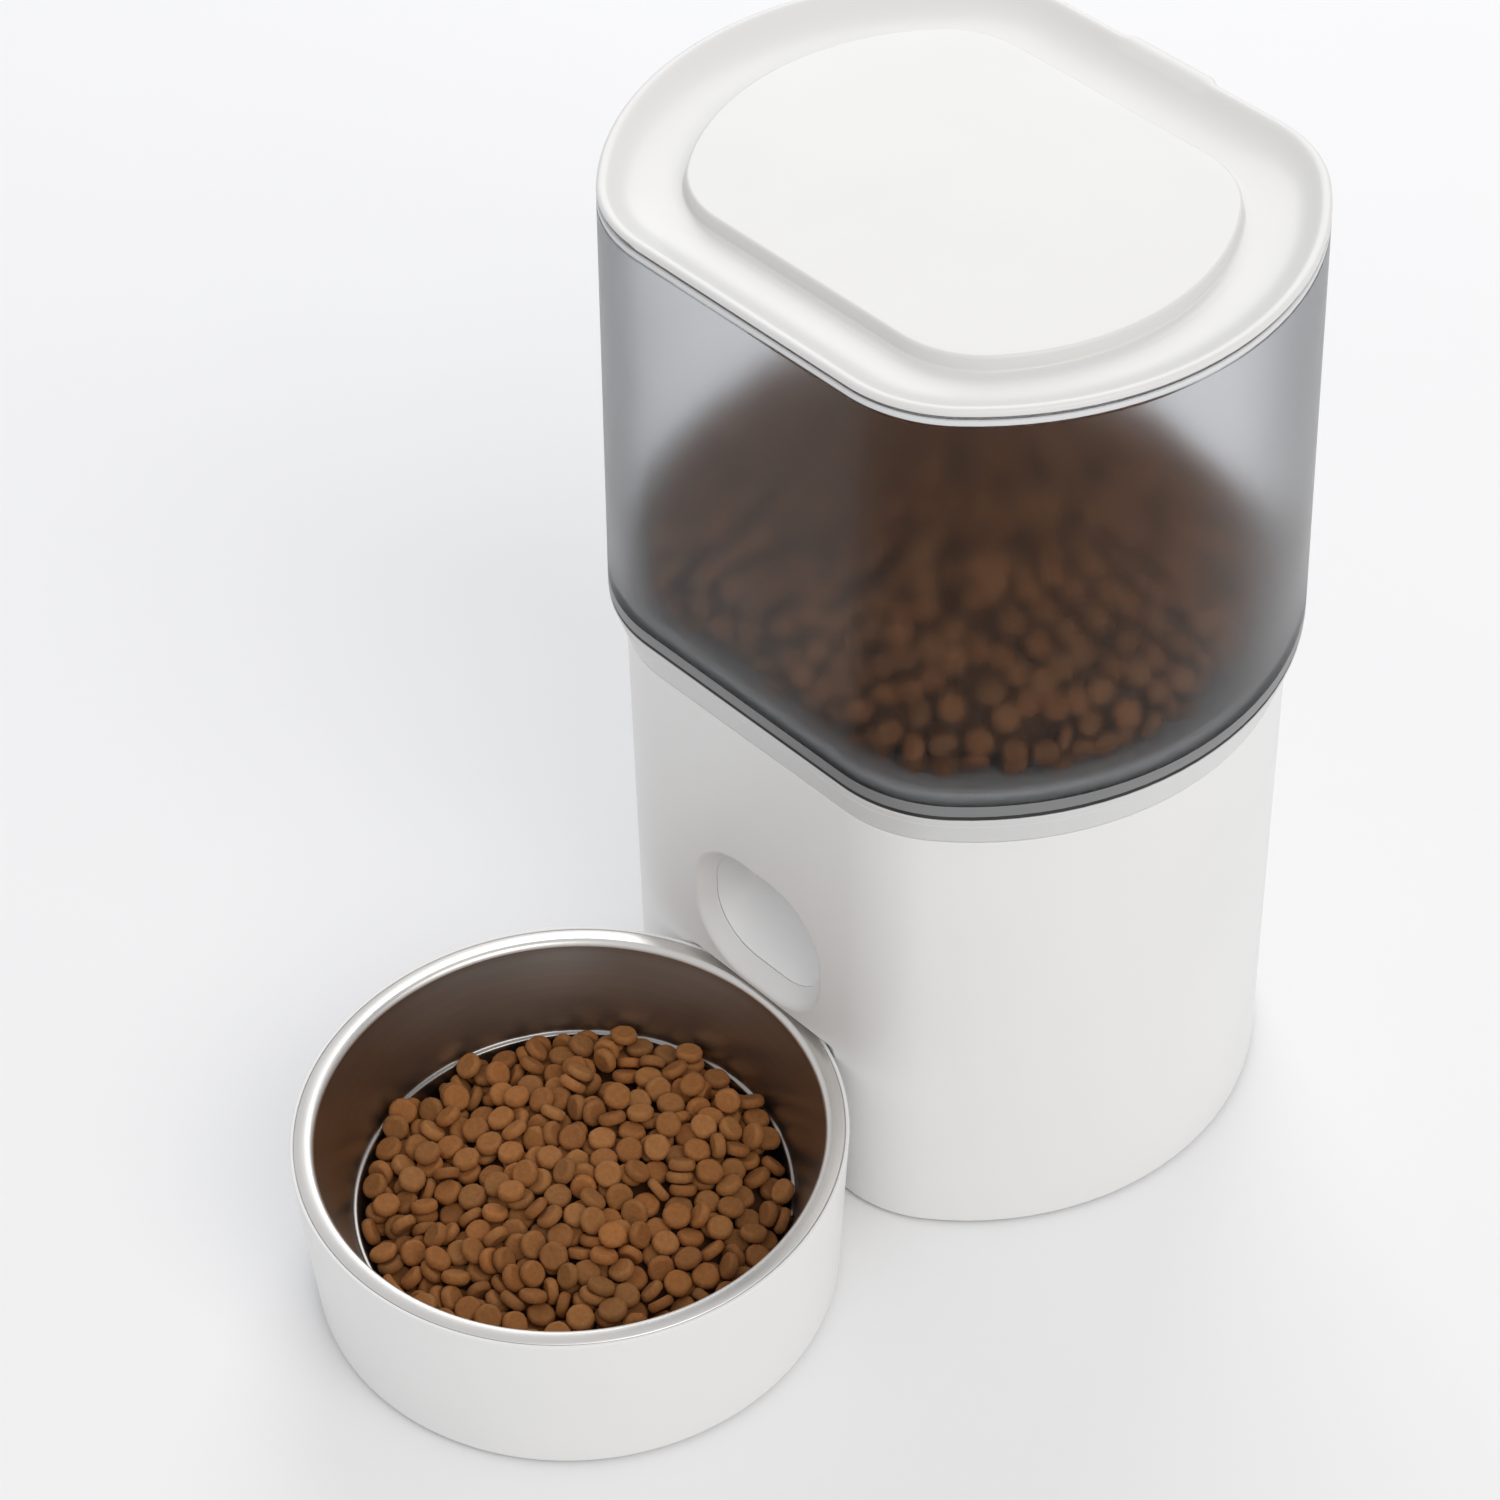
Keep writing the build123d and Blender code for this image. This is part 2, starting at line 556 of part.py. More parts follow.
def hopper_funnel():
    """Sloping floor of the tank, from its walls down to a round spout over the rotor."""
    spout_z, spout_r, spout_wall, rim_z = 153.0, 36.5, 2.4, 183.0
    wall_plan = tank_plan_at(rim_z)

    def slope(radius, low, amount, high):
        foot = Pos(0, ROTOR_Y, low) * round_plan(radius)
        return loft([foot, Pos(0, 0, high) * barrel(inset(wall_plan, amount))], ruled=True)

    funnel = slope(spout_r + spout_wall, spout_z, TANK_WALL + GAP, rim_z)
    funnel += rod(spout_r + spout_wall, spout_z - 3, spout_z, y=ROTOR_Y)
    funnel += prism(inset(wall_plan, TANK_WALL + GAP), FLANGE_TOP, rim_z)
    funnel -= slope(spout_r, spout_z - 0.01, TANK_WALL + GAP + 1.5, rim_z + 0.01)
    funnel -= rod(spout_r, spout_z - 4, spout_z, y=ROTOR_Y)
    return funnel


# ---- lid ----------------------------------------------------------------------------------
def lid_cover():
    """White lid: a rounded rim, a dished border, a steep step and a flat middle."""
    dish_z, dish_in, step_in, top_z = 309.8, 24.5, 25.4, 314.4
    rim = prism(LID_PLAN, LID_EDGE, LID_TOP)
    tab = Pos(0, LID_PLAN[1] - 6, LID_EDGE) * extrude(RectangleRounded(34, 16, 5), LID_TOP - LID_EDGE)
    rim = rim + tab
    rim = fillet(rim.faces().sort_by(Axis.Z)[-1].outer_wire().edges(), 1.0)
    body = rim + prism(inset(LID_PLAN, 3.4), LID_EDGE - 3.3, LID_EDGE)
    body += prism(inset(LID_PLAN, 12.0), dish_z - 1.8, LID_EDGE)
    dish = taper(inset(LID_PLAN, dish_in), dish_z, inset(LID_PLAN, 2.2), LID_TOP + 0.01)
    step = taper(inset(LID_PLAN, dish_in), dish_z, inset(LID_PLAN, step_in), top_z)
    step = fillet(step.faces().sort_by(Axis.Z)[-1].outer_wire().edges(), 1.2)
    body = body - dish + step
    return body - prism(inset(LID_PLAN, step_in + 1.8), dish_z - 3, top_z - 2.0)


def lid_liner():
    """Inner panel and skirt that plug the tank."""
    panel = prism(inset(LID_PLAN, 12.6), 305.6, 307.9)
    panel += ring(LID_PLAN, 12.6, 14.6, 302.0, 305.7)
    panel -= rod(31.0, 305, 309)
    return panel


def lid_seal():
    """Flat soft ring under the lid's locating lip."""
    return ring(LID_PLAN, 2.6, 12.0, LID_EDGE - 4.5, LID_EDGE - 3.3)


def desiccant_box():
    """Round cup hung from the liner, with its mouth down."""
    box = rod(30.6, 284.0, 307.8) - rod(28.8, 283.0, 305.8)
    box += rod(34.0, 303.4, 305.6) - rod(30.0, 303.0, 306.0)
    return box


def desiccant_pack():
    pack = extrude(RectangleRounded(36, 36, 6), 9)
    pack = fillet(pack.edges().group_by(Axis.Z)[0] + pack.edges().group_by(Axis.Z)[-1], 3.0)
    return Pos(0, 0, 290) * pack


def desiccant_cover():
    """Slotted cap that turns in the box's mouth."""
    cover = rod(33.0, 281.5, 283.7) + rod(28.4, 283.6, 287.0) - rod(26.6, 283.7, 288.0)
    for step in range(12):
        slot = Pos(17, 0, 282.5) * Box(12, 1.8, 6)
        cover -= Rot(0, 0, 30 * step) * slot
    cover += block((-12, 12), (-1.5, 1.5), (277.5, 281.6))
    return cover


# ---- bowl ---------------------------------------------------------------------------------
def bowl_holder():
    """White cup that carries the steel bowl, with two tongues that enter the base."""
    standing = (Align.CENTER, Align.CENTER, Align.MIN)
    outer = Cone(HOLDER_FOOT_R, HOLDER_R, BOWL_RIM - FOOT_H, align=standing)
    inner = Pos(0, 0, 2.4) * Cone(HOLDER_FOOT_R - 2.4, HOLDER_R - 3.4, BOWL_RIM, align=standing)
    cup = outer - inner
    cup = Pos(0, 0, FOOT_H) * fillet(cup.edges().sort_by(Axis.Z)[-2:], 0.5)
    cup -= rod(FLANGE_R + GAP, BOWL_RIM - 0.9, BOWL_RIM + 1)
    cup += ring_round(HOLDER_R - 4.4, HOLDER_R - 1.6, BOWL_RIM - 3.2, BOWL_RIM - 0.9)
    for x in (-18, 18):
        tongue = block((x - 4, x + 4), (70, 87.5), (12.0, 15.0))
        cup += tongue - rod(76.5, 0, 40)
    for x, y in pad_places():
        cup -= rod(6.1, 0, FOOT_H + 0.6, x, y)
    return cup


def ring_round(inner_r, outer_r, low, high):
    return rod(outer_r, low, high) - rod(inner_r, low - 1, high + 1)


def pad_places():
    return [(62 * cos(radians(a)), 62 * sin(radians(a))) for a in (30, 150, 270)]


def holder_pads():
    pad = rod(6.0, 0, FOOT_H + 0.6)
    pad = fillet(pad.edges().sort_by(Axis.Z)[0], 0.4)
    return group([Pos(x, y, 0) * pad for x, y in pad_places()])


def steel_bowl():
    """Pressed steel bowl: flat flange, rounded edge, sloping wall and a flat floor."""
    thick, edge_r, floor_z, wall_r, wall_z, floor_r = 0.8, 1.6, 14.0, 65.0, 28.0, 50.0
    rim_z = BOWL_RIM
    line = Polyline((0, floor_z), (floor_r, floor_z))
    foot = ThreePointArc((floor_r, floor_z), (floor_r + 10.2, floor_z + 3.4), (wall_r, wall_z))
    wall_top = (BOWL_MOUTH_R, rim_z - edge_r)
    wall = Line((wall_r, wall_z), wall_top)
    edge = ThreePointArc(wall_top, (BOWL_MOUTH_R + 0.47, rim_z - 0.47), (BOWL_MOUTH_R + edge_r, rim_z))
    flange = Line((BOWL_MOUTH_R + edge_r, rim_z), (FLANGE_R, rim_z))
    end = Line((FLANGE_R, rim_z), (FLANGE_R, rim_z - thick))
    under = Line((FLANGE_R, rim_z - thick), (BOWL_MOUTH_R + edge_r + 0.2, rim_z - thick))
    back = Polyline((BOWL_MOUTH_R + edge_r + 0.2, rim_z - thick),
                    (BOWL_MOUTH_R + thick, rim_z - edge_r - 0.6), (wall_r + thick, wall_z - 0.2))
    back_foot = ThreePointArc((wall_r + thick, wall_z - 0.2), (floor_r + 10.8, floor_z + 2.7),
                              (floor_r, floor_z - thick))
    bottom = Polyline((floor_r, floor_z - thick), (0, floor_z - thick), (0, floor_z))
    edges = [line, foot, wall, edge, flange, end, under, back, back_foot, bottom]
    section = Plane.XZ * make_face([piece for item in edges for piece in item.edges()])
    return revolve(section, Axis.Z)


# ---- the whole feeder ---------------------------------------------------------------------
BASE_PIECES = [
    base_housing, base_plate, base_screws, rubber_feet, battery_door, batteries, battery_contacts,
    collar_ring, food_chute, sensor_windows, rotor_cup, cup_screws, shaft_bush, motor_bracket,
    bracket_screws, motor_screws, gearbox, motor_can, drive_gear, motor_pinion, motor_shaft,
    rotor_shaft, rotor_hub, rotor_vanes, agitator, shaft_clip, circuit_board, board_parts,
    board_screws, tact_switch, feed_button, dc_jack, status_light, motor_leads, battery_leads,
    tank, tank_gasket, hopper_funnel, lid_cover, lid_liner, lid_seal,
    desiccant_box, desiccant_pack, desiccant_cover,
]
BOWL_PIECES = [bowl_holder, holder_pads, steel_bowl]

os.makedirs("parts", exist_ok=True)
for pieces, axis_y in ((BASE_PIECES, BASE_Y), (BOWL_PIECES, BOWL_Y)):
    for make in pieces:
        export_step(Pos(0, axis_y, 0) * make(), f"parts/{make.__name__}.step")
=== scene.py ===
import json
import math
import random

import bmesh
import bpy
from mathutils import Matrix, Quaternion, Vector


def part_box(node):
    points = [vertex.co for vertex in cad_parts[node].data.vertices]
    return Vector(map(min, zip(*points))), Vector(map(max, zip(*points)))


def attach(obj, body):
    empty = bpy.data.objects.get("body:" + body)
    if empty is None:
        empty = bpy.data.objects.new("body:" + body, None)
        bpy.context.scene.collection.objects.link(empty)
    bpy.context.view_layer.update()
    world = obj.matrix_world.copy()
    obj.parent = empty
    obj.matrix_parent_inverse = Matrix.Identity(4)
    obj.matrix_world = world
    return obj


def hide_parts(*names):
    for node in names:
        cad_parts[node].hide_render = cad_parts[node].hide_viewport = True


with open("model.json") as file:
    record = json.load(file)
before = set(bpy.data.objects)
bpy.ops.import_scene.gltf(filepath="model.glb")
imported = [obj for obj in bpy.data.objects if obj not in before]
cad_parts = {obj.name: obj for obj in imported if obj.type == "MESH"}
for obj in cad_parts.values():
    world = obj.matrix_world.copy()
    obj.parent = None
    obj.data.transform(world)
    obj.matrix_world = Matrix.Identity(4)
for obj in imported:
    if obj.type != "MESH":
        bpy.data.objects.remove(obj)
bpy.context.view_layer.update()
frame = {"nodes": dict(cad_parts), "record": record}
random.seed(11)

# Outlines and sections below are in millimetres, and build() turns them into metres.
MM = 0.001


def middle(node, axis):
    low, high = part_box(node)
    return (low[axis] + high[axis]) / 2 / MM


def top(node):
    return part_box(node)[1][2] / MM


def bottom(node):
    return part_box(node)[0][2] / MM


# A plan outline is (half width, half depth, side arc radius, corner radius), as in the CAD.
BASE_PLAN = (98.0, 81.0, 92.0, 40.0)
LID_PLAN = (99.0, 81.5, 96.3, 41.6)
LID_MIDDLE_PLAN = (75.2, 57.7, 74.0, 31.0)
TANK_FOOT_PLAN = (101.7, 84.2, 99.0, 44.3)
BASE_Y, BOWL_Y = middle("base_housing", 1), middle("steel_bowl", 1)
FRONT, BACK = BASE_Y - BASE_PLAN[1], BASE_Y + BASE_PLAN[1]
FOOT_Z, BASE_TOP, COLLAR_TOP = bottom("base_housing"), top("base_housing"), top("collar_ring")
TANK_FOOT, TANK_TOP = bottom("tank"), top("tank")
ROTOR_Y = middle("rotor_hub", 1)
# FLANGE_IN and FLANGE_TOP are the flange in the tank's foot, and the sole is the foot's solid part, painted
# opaque dark grey as painted shade for the dim gap seen through the frosted wall.
TANK_WALL, FLANGE_IN, FLANGE_TOP = 2.2, 7.7, 177.8
SOLE_LOW, SHADE_SOLE_TOP = TANK_FOOT + 0.5, 180.0
# The bowl's flange is brushed from BRUSHED_R out, and its pocket leaves room for it to tip up.
RIM_Z, BRUSHED_R, FLANGE_R = top("steel_bowl"), 74.6, 80.2
POCKET_R, TIP_ANGLE = 82.2, math.radians(20)
BOWL_TABLETS, QUICK_TABLETS = 390, 300
HEAP_SPACING, HEAP_CELL = 6.3, 7
MOUTH_Z, MOUTH_W, MOUTH_H = 85.5, 52.4, 46.8
PANEL_Z = middle("feed_button", 2)
JACK_X, BUTTON_X, LIGHT_X = middle("dc_jack", 0), middle("feed_button", 0), middle("status_light", 0)


# ---- shapes ---------------------------------------------------------------------------------
def inset(plan, amount):
    return tuple(size - amount for size in plan)


def mixed(low_plan, high_plan, share):
    return tuple(low + (high - low) * share for low, high in zip(low_plan, high_plan))


def barrel(plan, flat=(0.0,), corner=14, side=26):
    """Points round a plan with a flat front and back, bowed sides and rounded corners.
    flat lists where points stand along the flats, as shares of their length."""
    half_w, half_d, side_r, corner_r = plan
    side_x = half_w - side_r
    corner_y = half_d - corner_r
    corner_x = side_x + math.sqrt((side_r - corner_r) ** 2 - corner_y ** 2)
    turn = math.atan2(corner_y, corner_x - side_x)
    half = [(corner_x * (2 * share - 1), -half_d) for share in flat]
    for step in range(corner):
        angle = -math.pi / 2 + (math.pi / 2 - turn) * step / corner
        half.append((corner_x + corner_r * math.cos(angle), -corner_y + corner_r * math.sin(angle)))
    for step in range(side):
        angle = -turn + 2 * turn * step / side
        half.append((side_x + side_r * math.cos(angle), side_r * math.sin(angle)))
    for step in range(corner):
        angle = turn + (math.pi / 2 - turn) * step / corner
        half.append((corner_x + corner_r * math.cos(angle), corner_y + corner_r * math.sin(angle)))
    return half + [(-x, -y) for x, y in half]


def rounded(points, closed=True, steps=4):
    """A section through (across, up, corner size) points, with its corners rounded."""
    line = []
    for index, (x, y, size) in enumerate(points):
        if size <= 0 or (not closed and index in (0, len(points) - 1)):
            line.append((x, y))
            continue
        here = Vector((x, y))
        before = Vector(points[index - 1][:2]) - here
        after = Vector(points[(index + 1) % len(points)][:2]) - here
        start = here + before.normalized() * min(size, before.length * 0.48)
        end = here + after.normalized() * min(size, after.length * 0.48)
        for step in range(steps + 1):
            t = step / steps
            line.append(tuple(start * (1 - t) ** 2 + here * 2 * t * (1 - t) + end * t ** 2))
    return line


def smoothed(line, times=2):
    """An open line with its corners cut, its ends kept."""
    for _ in range(times):
        cut = [line[0]]
        for (x0, y0), (x1, y1) in zip(line, line[1:]):
            cut.append((x0 * 0.75 + x1 * 0.25, y0 * 0.75 + y1 * 0.25))
            cut.append((x0 * 0.25 + x1 * 0.75, y0 * 0.25 + y1 * 0.75))
        line = cut + [line[-1]]
    return line


def soften(mesh, sharp=32):
    mesh.shade_smooth()
    mesh.set_sharp_from_angle(angle=math.radians(sharp))


def build(name, points, faces, sharp=32):
    """A mesh object from millimetre points."""
    mesh = bpy.data.meshes.new(name)
    mesh.from_pydata([(x * MM, y * MM, z * MM) for x, y, z in points], [], faces)
    work = bmesh.new()
    work.from_mesh(mesh)
    bmesh.ops.remove_doubles(work, verts=work.verts, dist=2e-7)
    bmesh.ops.recalc_face_normals(work, faces=work.faces)
    work.to_mesh(mesh)
    work.free()
    soften(mesh, sharp)
    made = bpy.data.objects.new(name, mesh)
    bpy.context.scene.collection.objects.link(made)
    return made


def loft(name, rings, closed=False, sharp=32):
    """Walls through equal rings of points: a closed section, or an open one with capped ends."""
    count = len(rings[0])
    points = [point for ring in rings for point in ring]
    faces = []
    for low in range(len(rings) if closed else len(rings) - 1):
        high = (low + 1) % len(rings)
        for first in range(count):
            second = (first + 1) % count
            faces.append((low * count + first, low * count + second, high * count + second,
                          high * count + first))
    if not closed:
        faces.append(tuple(range(count)))
        faces.append(tuple((len(rings) - 1) * count + index for index in range(count)))
    return build(name, points, faces, sharp)


def shell(name, plan_at, section, closed=True, flat=(0.0,), sharp=32):
    """A barrel-plan solid from a section of (inset, z). plan_at is one plan, or gives it by height."""
    rings = []
    for amount, z in section:
        plan = plan_at(z) if callable(plan_at) else plan_at
        rings.append([(x, y + BASE_Y, z) for x, y in barrel(inset(plan, amount), flat)])
    return loft(name, rings, closed, sharp)


def turned(name, section, x=0.0, y=0.0, count=96, sharp=32, along_y=False):
    """A round solid from a section of (radius, height), upright or along Y."""
    rings = []
    for radius, height in section:
        ring = []
        for step in range(count):
            angle = 2 * math.pi * step / count
            across, other = radius * math.cos(angle), radius * math.sin(angle)
            if along_y:
                ring.append((x + across, height, y + other))
            else:
                ring.append((x + across, y + other, height))
        rings.append(ring)
    return loft(name, rings, sharp=sharp)


def slot_ring(half_x, low, high, corner, steps=8):
    """A rounded rectangle 2 half_x wide, standing between two (y, z) points."""
    up = Vector(high) - Vector(low)
    half = up.length / 2
    up.normalize()
    centre = (Vector(low) + Vector(high)) / 2
    corner = min(corner, half * 0.96, half_x * 0.96)
    ring = []
    for quarter, (side, lift) in enumerate(((1, 1), (-1, 1), (-1, -1), (1, -1))):
        for step in range(steps + 1):
            angle = (quarter + step / steps) * math.pi / 2
            across = side * (half_x - corner) + corner * math.cos(angle)
            along = lift * (half - corner) + corner * math.sin(angle)
            place = centre + up * along
            ring.append((across, place[0], place[1]))
    return ring


def mouth_ring(depth, amount, sill=1.0):
    """The food mouth's outline, moved inwards, at a depth behind the front face. The sill moves
    in sill times as far."""
    y, half = FRONT + depth, MOUTH_H / 2 - amount
    low = MOUTH_Z - MOUTH_H / 2 + amount * sill
    return slot_ring(MOUTH_W / 2 - amount, (y, low), (y, MOUTH_Z + half), 20.0 - amount)


def slab(name, x_range, y_range, z_range):
    rings = [[(x, y, z) for x, y in ((x_range[0], y_range[0]), (x_range[1], y_range[0]),
                                     (x_range[1], y_range[1]), (x_range[0], y_range[1]))]
             for z in z_range]
    return loft(name, rings)


def settle(target):
    """Applies the object's modifiers to its mesh."""
    depsgraph = bpy.context.evaluated_depsgraph_get()
    mesh = bpy.data.meshes.new_from_object(target.evaluated_get(depsgraph))
    target.modifiers.clear()
    target.data = mesh


def carve(target, tools, operation="DIFFERENCE"):
    for tool in tools:
        step = target.modifiers.new("carve", "BOOLEAN")
        step.operation = operation
        step.solver = "EXACT"
        step.object = tool
    settle(target)
    for tool in tools:
        bpy.data.objects.remove(tool)
    soften(target.data)


def even(target):
    """Keeps flat faces flat in the shading."""
    step = target.modifiers.new("even", "WEIGHTED_NORMAL")
    step.keep_sharp = True
    step.weight = 90


def finish_piece(target, body, slot_name, material, *nodes):
    target.data.materials.clear()
    target.data.materials.append(material)
    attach(target, body)
    if nodes:
        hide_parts(*nodes)
    return target


# ---- materials ------------------------------------------------------------------------------
def add(tree, kind, values=None, links=None, **settings):
    node = tree.nodes.new(kind)
    for key, value in settings.items():
        setattr(node, key, value)
    for key, value in (values or {}).items():
        node.inputs[key].default_value = value
    for key, socket in (links or {}).items():
        tree.links.new(socket, node.inputs[key])
    return node


def noise(tree, place, scale, detail=2.0, rough=0.5):
    node = add(tree, "ShaderNodeTexNoise", {"Scale": scale, "Detail": detail, "Roughness": rough},
               {"Vector": place})
    return node.outputs["Fac"]


def ranged(tree, value, low, high, start=0.3, stop=0.7):
    node = add(tree, "ShaderNodeMapRange",
               {"From Min": start, "From Max": stop, "To Min": low, "To Max": high}, {"Value": value})
    return node.outputs["Result"]


def blended(tree, factor, first, second):
    node = add(tree, "ShaderNodeMix", data_type="RGBA")
    node.inputs[6].default_value = (*first, 1)
    node.inputs[7].default_value = (*second, 1)
    tree.links.new(factor, node.inputs[0])
    return node.outputs[2]


def blank(name):
    """A material's node tree, its shader and its object coordinates."""
    material = bpy.data.materials.new(name)
    material.use_nodes = True
    tree = material.node_tree
    place = add(tree, "ShaderNodeTexCoord").outputs["Object"]
    return material, tree, tree.nodes["Principled BSDF"], place


def set_all(shader, settings):
    for key, value in settings.items():
        shader.inputs[key].default_value = value


def raised(tree, shader, height, strength, distance):
    bump = add(tree, "ShaderNodeBump", {"Strength": strength, "Distance": distance}, {"Height": height})
    tree.links.new(bump.outputs["Normal"], shader.inputs["Normal"])


def surface(name, first, second, rough, mottle=9.0, grain=900.0, strength=0.12, **settings):
    """A moulded or pressed surface: two close shades, uneven gloss and a fine grain."""
    material, tree, shader, place = blank(name)
    tree.links.new(blended(tree, ranged(tree, noise(tree, place, mottle, 4), 0, 1), first, second),
                   shader.inputs["Base Color"])
    tree.links.new(ranged(tree, noise(tree, place, mottle * 3.1, 5, 0.65), *rough),
                   shader.inputs["Roughness"])
    raised(tree, shader, noise(tree, place, grain, 3, 0.6), strength, 0.00006)
    set_all(shader, settings)
    return material


WHITE = surface("white_plastic", (0.80, 0.797, 0.787), (0.83, 0.826, 0.815), (0.30, 0.40),
                **{"IOR": 1.46, "Coat Weight": 0.08, "Coat Roughness": 0.25})
LID_WHITE = surface("lid_white", (0.74, 0.734, 0.72), (0.765, 0.758, 0.745), (0.29, 0.37), mottle=7.0,
                    **{"IOR": 1.46, "Coat Weight": 0.12, "Coat Roughness": 0.2})
# The collar's white plastic greyed down: painted shade for its flare, which faces the floor.
COLLAR_SHADED_WHITE = surface("collar_painted_shade", (0.67, 0.67, 0.665), (0.70, 0.698, 0.69), (0.30, 0.40), IOR=1.46)
TANK_BEAD = surface("tank_bead", (0.68, 0.685, 0.69), (0.73, 0.735, 0.74), (0.30, 0.42), IOR=1.46)
# Opaque dark grey for the tank's foot: painted shade standing in for the dim gap behind the frosted wall.
TANK_SOLE_SHADE = surface("tank_sole_painted_shade", (0.19, 0.192, 0.195), (0.23, 0.232, 0.235), (0.32, 0.42), IOR=1.46)
# The funnel is white plastic; this grey is painted shade for how dim it looks through the frosted tank.
FUNNEL_SHADE_GREY = surface("funnel_painted_shade", (0.36, 0.36, 0.36), (0.40, 0.40, 0.40), (0.45, 0.6), mottle=14.0)
# The duct's white is lighter than the white plastic: painted light that brightens the mouth's recess.
DUCT_LIT_WHITE = surface("duct_painted_light", (0.90, 0.90, 0.895), (0.925, 0.925, 0.92), (0.36, 0.46), IOR=1.46)
BLACK_RUBBER = surface("black_rubber", (0.012, 0.012, 0.013), (0.025, 0.025, 0.026), (0.55, 0.75),
                       mottle=60.0, grain=1500.0, strength=0.3)
GREY_RUBBER = surface("grey_rubber", (0.24, 0.24, 0.245), (0.30, 0.30, 0.305), (0.65, 0.85), mottle=50.0,
                      grain=1400.0, strength=0.35)
SOFT_VANE = surface("soft_vane", (0.60, 0.63, 0.64), (0.68, 0.70, 0.70), (0.35, 0.5), mottle=40.0,
                    **{"Subsurface Weight": 0.25, "Subsurface Scale": 0.004})
GREY_PLASTIC = surface("grey_plastic", (0.30, 0.305, 0.31), (0.36, 0.365, 0.37), (0.42, 0.58),
                       mottle=22.0, grain=1300.0, strength=0.3)
DARK_PLASTIC = surface("dark_plastic", (0.014, 0.014, 0.016), (0.028, 0.028, 0.03), (0.38, 0.52),
                       mottle=40.0, grain=1600.0, strength=0.3)
CLEAR = surface("clear_plastic", (0.88, 0.92, 0.92), (0.95, 0.97, 0.97), (0.08, 0.18), mottle=80.0,
                **{"Transmission Weight": 0.9, "IOR": 1.49})
NYLON = surface("nylon", (0.70, 0.68, 0.61), (0.78, 0.76, 0.70), (0.38, 0.5), mottle=45.0,
                **{"Subsurface Weight": 0.15, "Subsurface Scale": 0.002})
BRONZE = surface("bronze", (0.45, 0.27, 0.10), (0.60, 0.38, 0.17), (0.32, 0.5), mottle=150.0,
                 grain=2600.0, strength=0.5, Metallic=1.0)
ZINC = surface("screw_steel", (0.48, 0.48, 0.50), (0.62, 0.61, 0.60), (0.28, 0.42), mottle=120.0,
               grain=2200.0, strength=0.25, Metallic=1.0)
PLATED = surface("motor_steel", (0.50, 0.50, 0.49), (0.62, 0.62, 0.61), (0.28, 0.40), mottle=60.0,
                 grain=1800.0, strength=0.2, Metallic=1.0)
NICKEL = surface("contact_metal", (0.68, 0.66, 0.60), (0.78, 0.76, 0.71), (0.12, 0.26), mottle=140.0,
                 grain=1500.0, strength=0.15, Metallic=1.0)
CHIPS = surface("board_parts", (0.02, 0.02, 0.022), (0.045, 0.045, 0.05), (0.45, 0.6), mottle=90.0,
                grain=2200.0, strength=0.3)
LEAD = surface("lead", (0.34, 0.02, 0.018), (0.42, 0.035, 0.03), (0.38, 0.5), mottle=60.0)
PAPER = surface("desiccant", (0.72, 0.72, 0.69), (0.80, 0.80, 0.78), (0.8, 0.92), mottle=160.0,
                grain=1100.0, strength=0.7)


def board_material():
    """Green solder mask over a faint pattern of tracks."""
    material, tree, shader, place = blank("board")
    cells = add(tree, "ShaderNodeTexVoronoi", {"Scale": 260.0}, {"Vector": place},
                distance="MANHATTAN", feature="F1")
    tracks = ranged(tree, cells.outputs["Distance"], 0, 1, 0.42, 0.5)
    tree.links.new(blended(tree, tracks, (0.01, 0.10, 0.035), (0.025, 0.19, 0.07)),
                   shader.inputs["Base Color"])
    tree.links.new(ranged(tree, noise(tree, place, 70, 4), 0.22, 0.4), shader.inputs["Roughness"])
    raised(tree, shader, tracks, 0.4, 0.00004)
    return material


def tank_material():
    """Smoky frosted plastic: rough both ways through, with a fine etched skin."""
    material, tree, shader, place = blank("smoke_tank")
    tree.links.new(blended(tree, ranged(tree, noise(tree, place, 6, 3), 0, 1),
                           (0.80, 0.81, 0.825), (0.83, 0.84, 0.85)), shader.inputs["Base Color"])
    tree.links.new(ranged(tree, noise(tree, place, 25, 4), 0.28, 0.30), shader.inputs["Roughness"])
    raised(tree, shader, noise(tree, place, 1500, 2), 0.08, 0.00003)
    set_all(shader, {"Transmission Weight": 1.0, "IOR": 1.16, "Specular IOR Level": 0.5})
    return material


def steel_material(name, centre_y, rough, turning, shades):
    """Steel with fine lines that run round the bowl's axis."""
    material, tree, shader, place = blank(name)
    parts = add(tree, "ShaderNodeSeparateXYZ", None, {"Vector": place})
    offset = add(tree, "ShaderNodeMath", {1: centre_y * MM}, {0: parts.outputs["Y"]}, operation="SUBTRACT")
    flat = add(tree, "ShaderNodeCombineXYZ", None, {"X": parts.outputs["X"], "Y": offset.outputs[0]})
    radius = add(tree, "ShaderNodeVectorMath", None, {0: flat.outputs[0]}, operation="LENGTH")
    round_place = add(tree, "ShaderNodeCombineXYZ", None,
                      {"X": radius.outputs["Value"], "Z": parts.outputs["Z"]}).outputs[0]
    lines = noise(tree, round_place, 2600, 3, 0.7)
    cloud = noise(tree, place, 28, 4)
    tree.links.new(blended(tree, ranged(tree, lines, 0, 1), *shades), shader.inputs["Base Color"])
    total = add(tree, "ShaderNodeMath", {1: 0.35}, {0: lines, 2: cloud}, operation="MULTIPLY_ADD")
    tree.links.new(ranged(tree, total.outputs[0], *rough, 0.4, 0.95), shader.inputs["Roughness"])
    raised(tree, shader, lines, turning, 0.00002)
    set_all(shader, {"Metallic": 1.0})
    return material


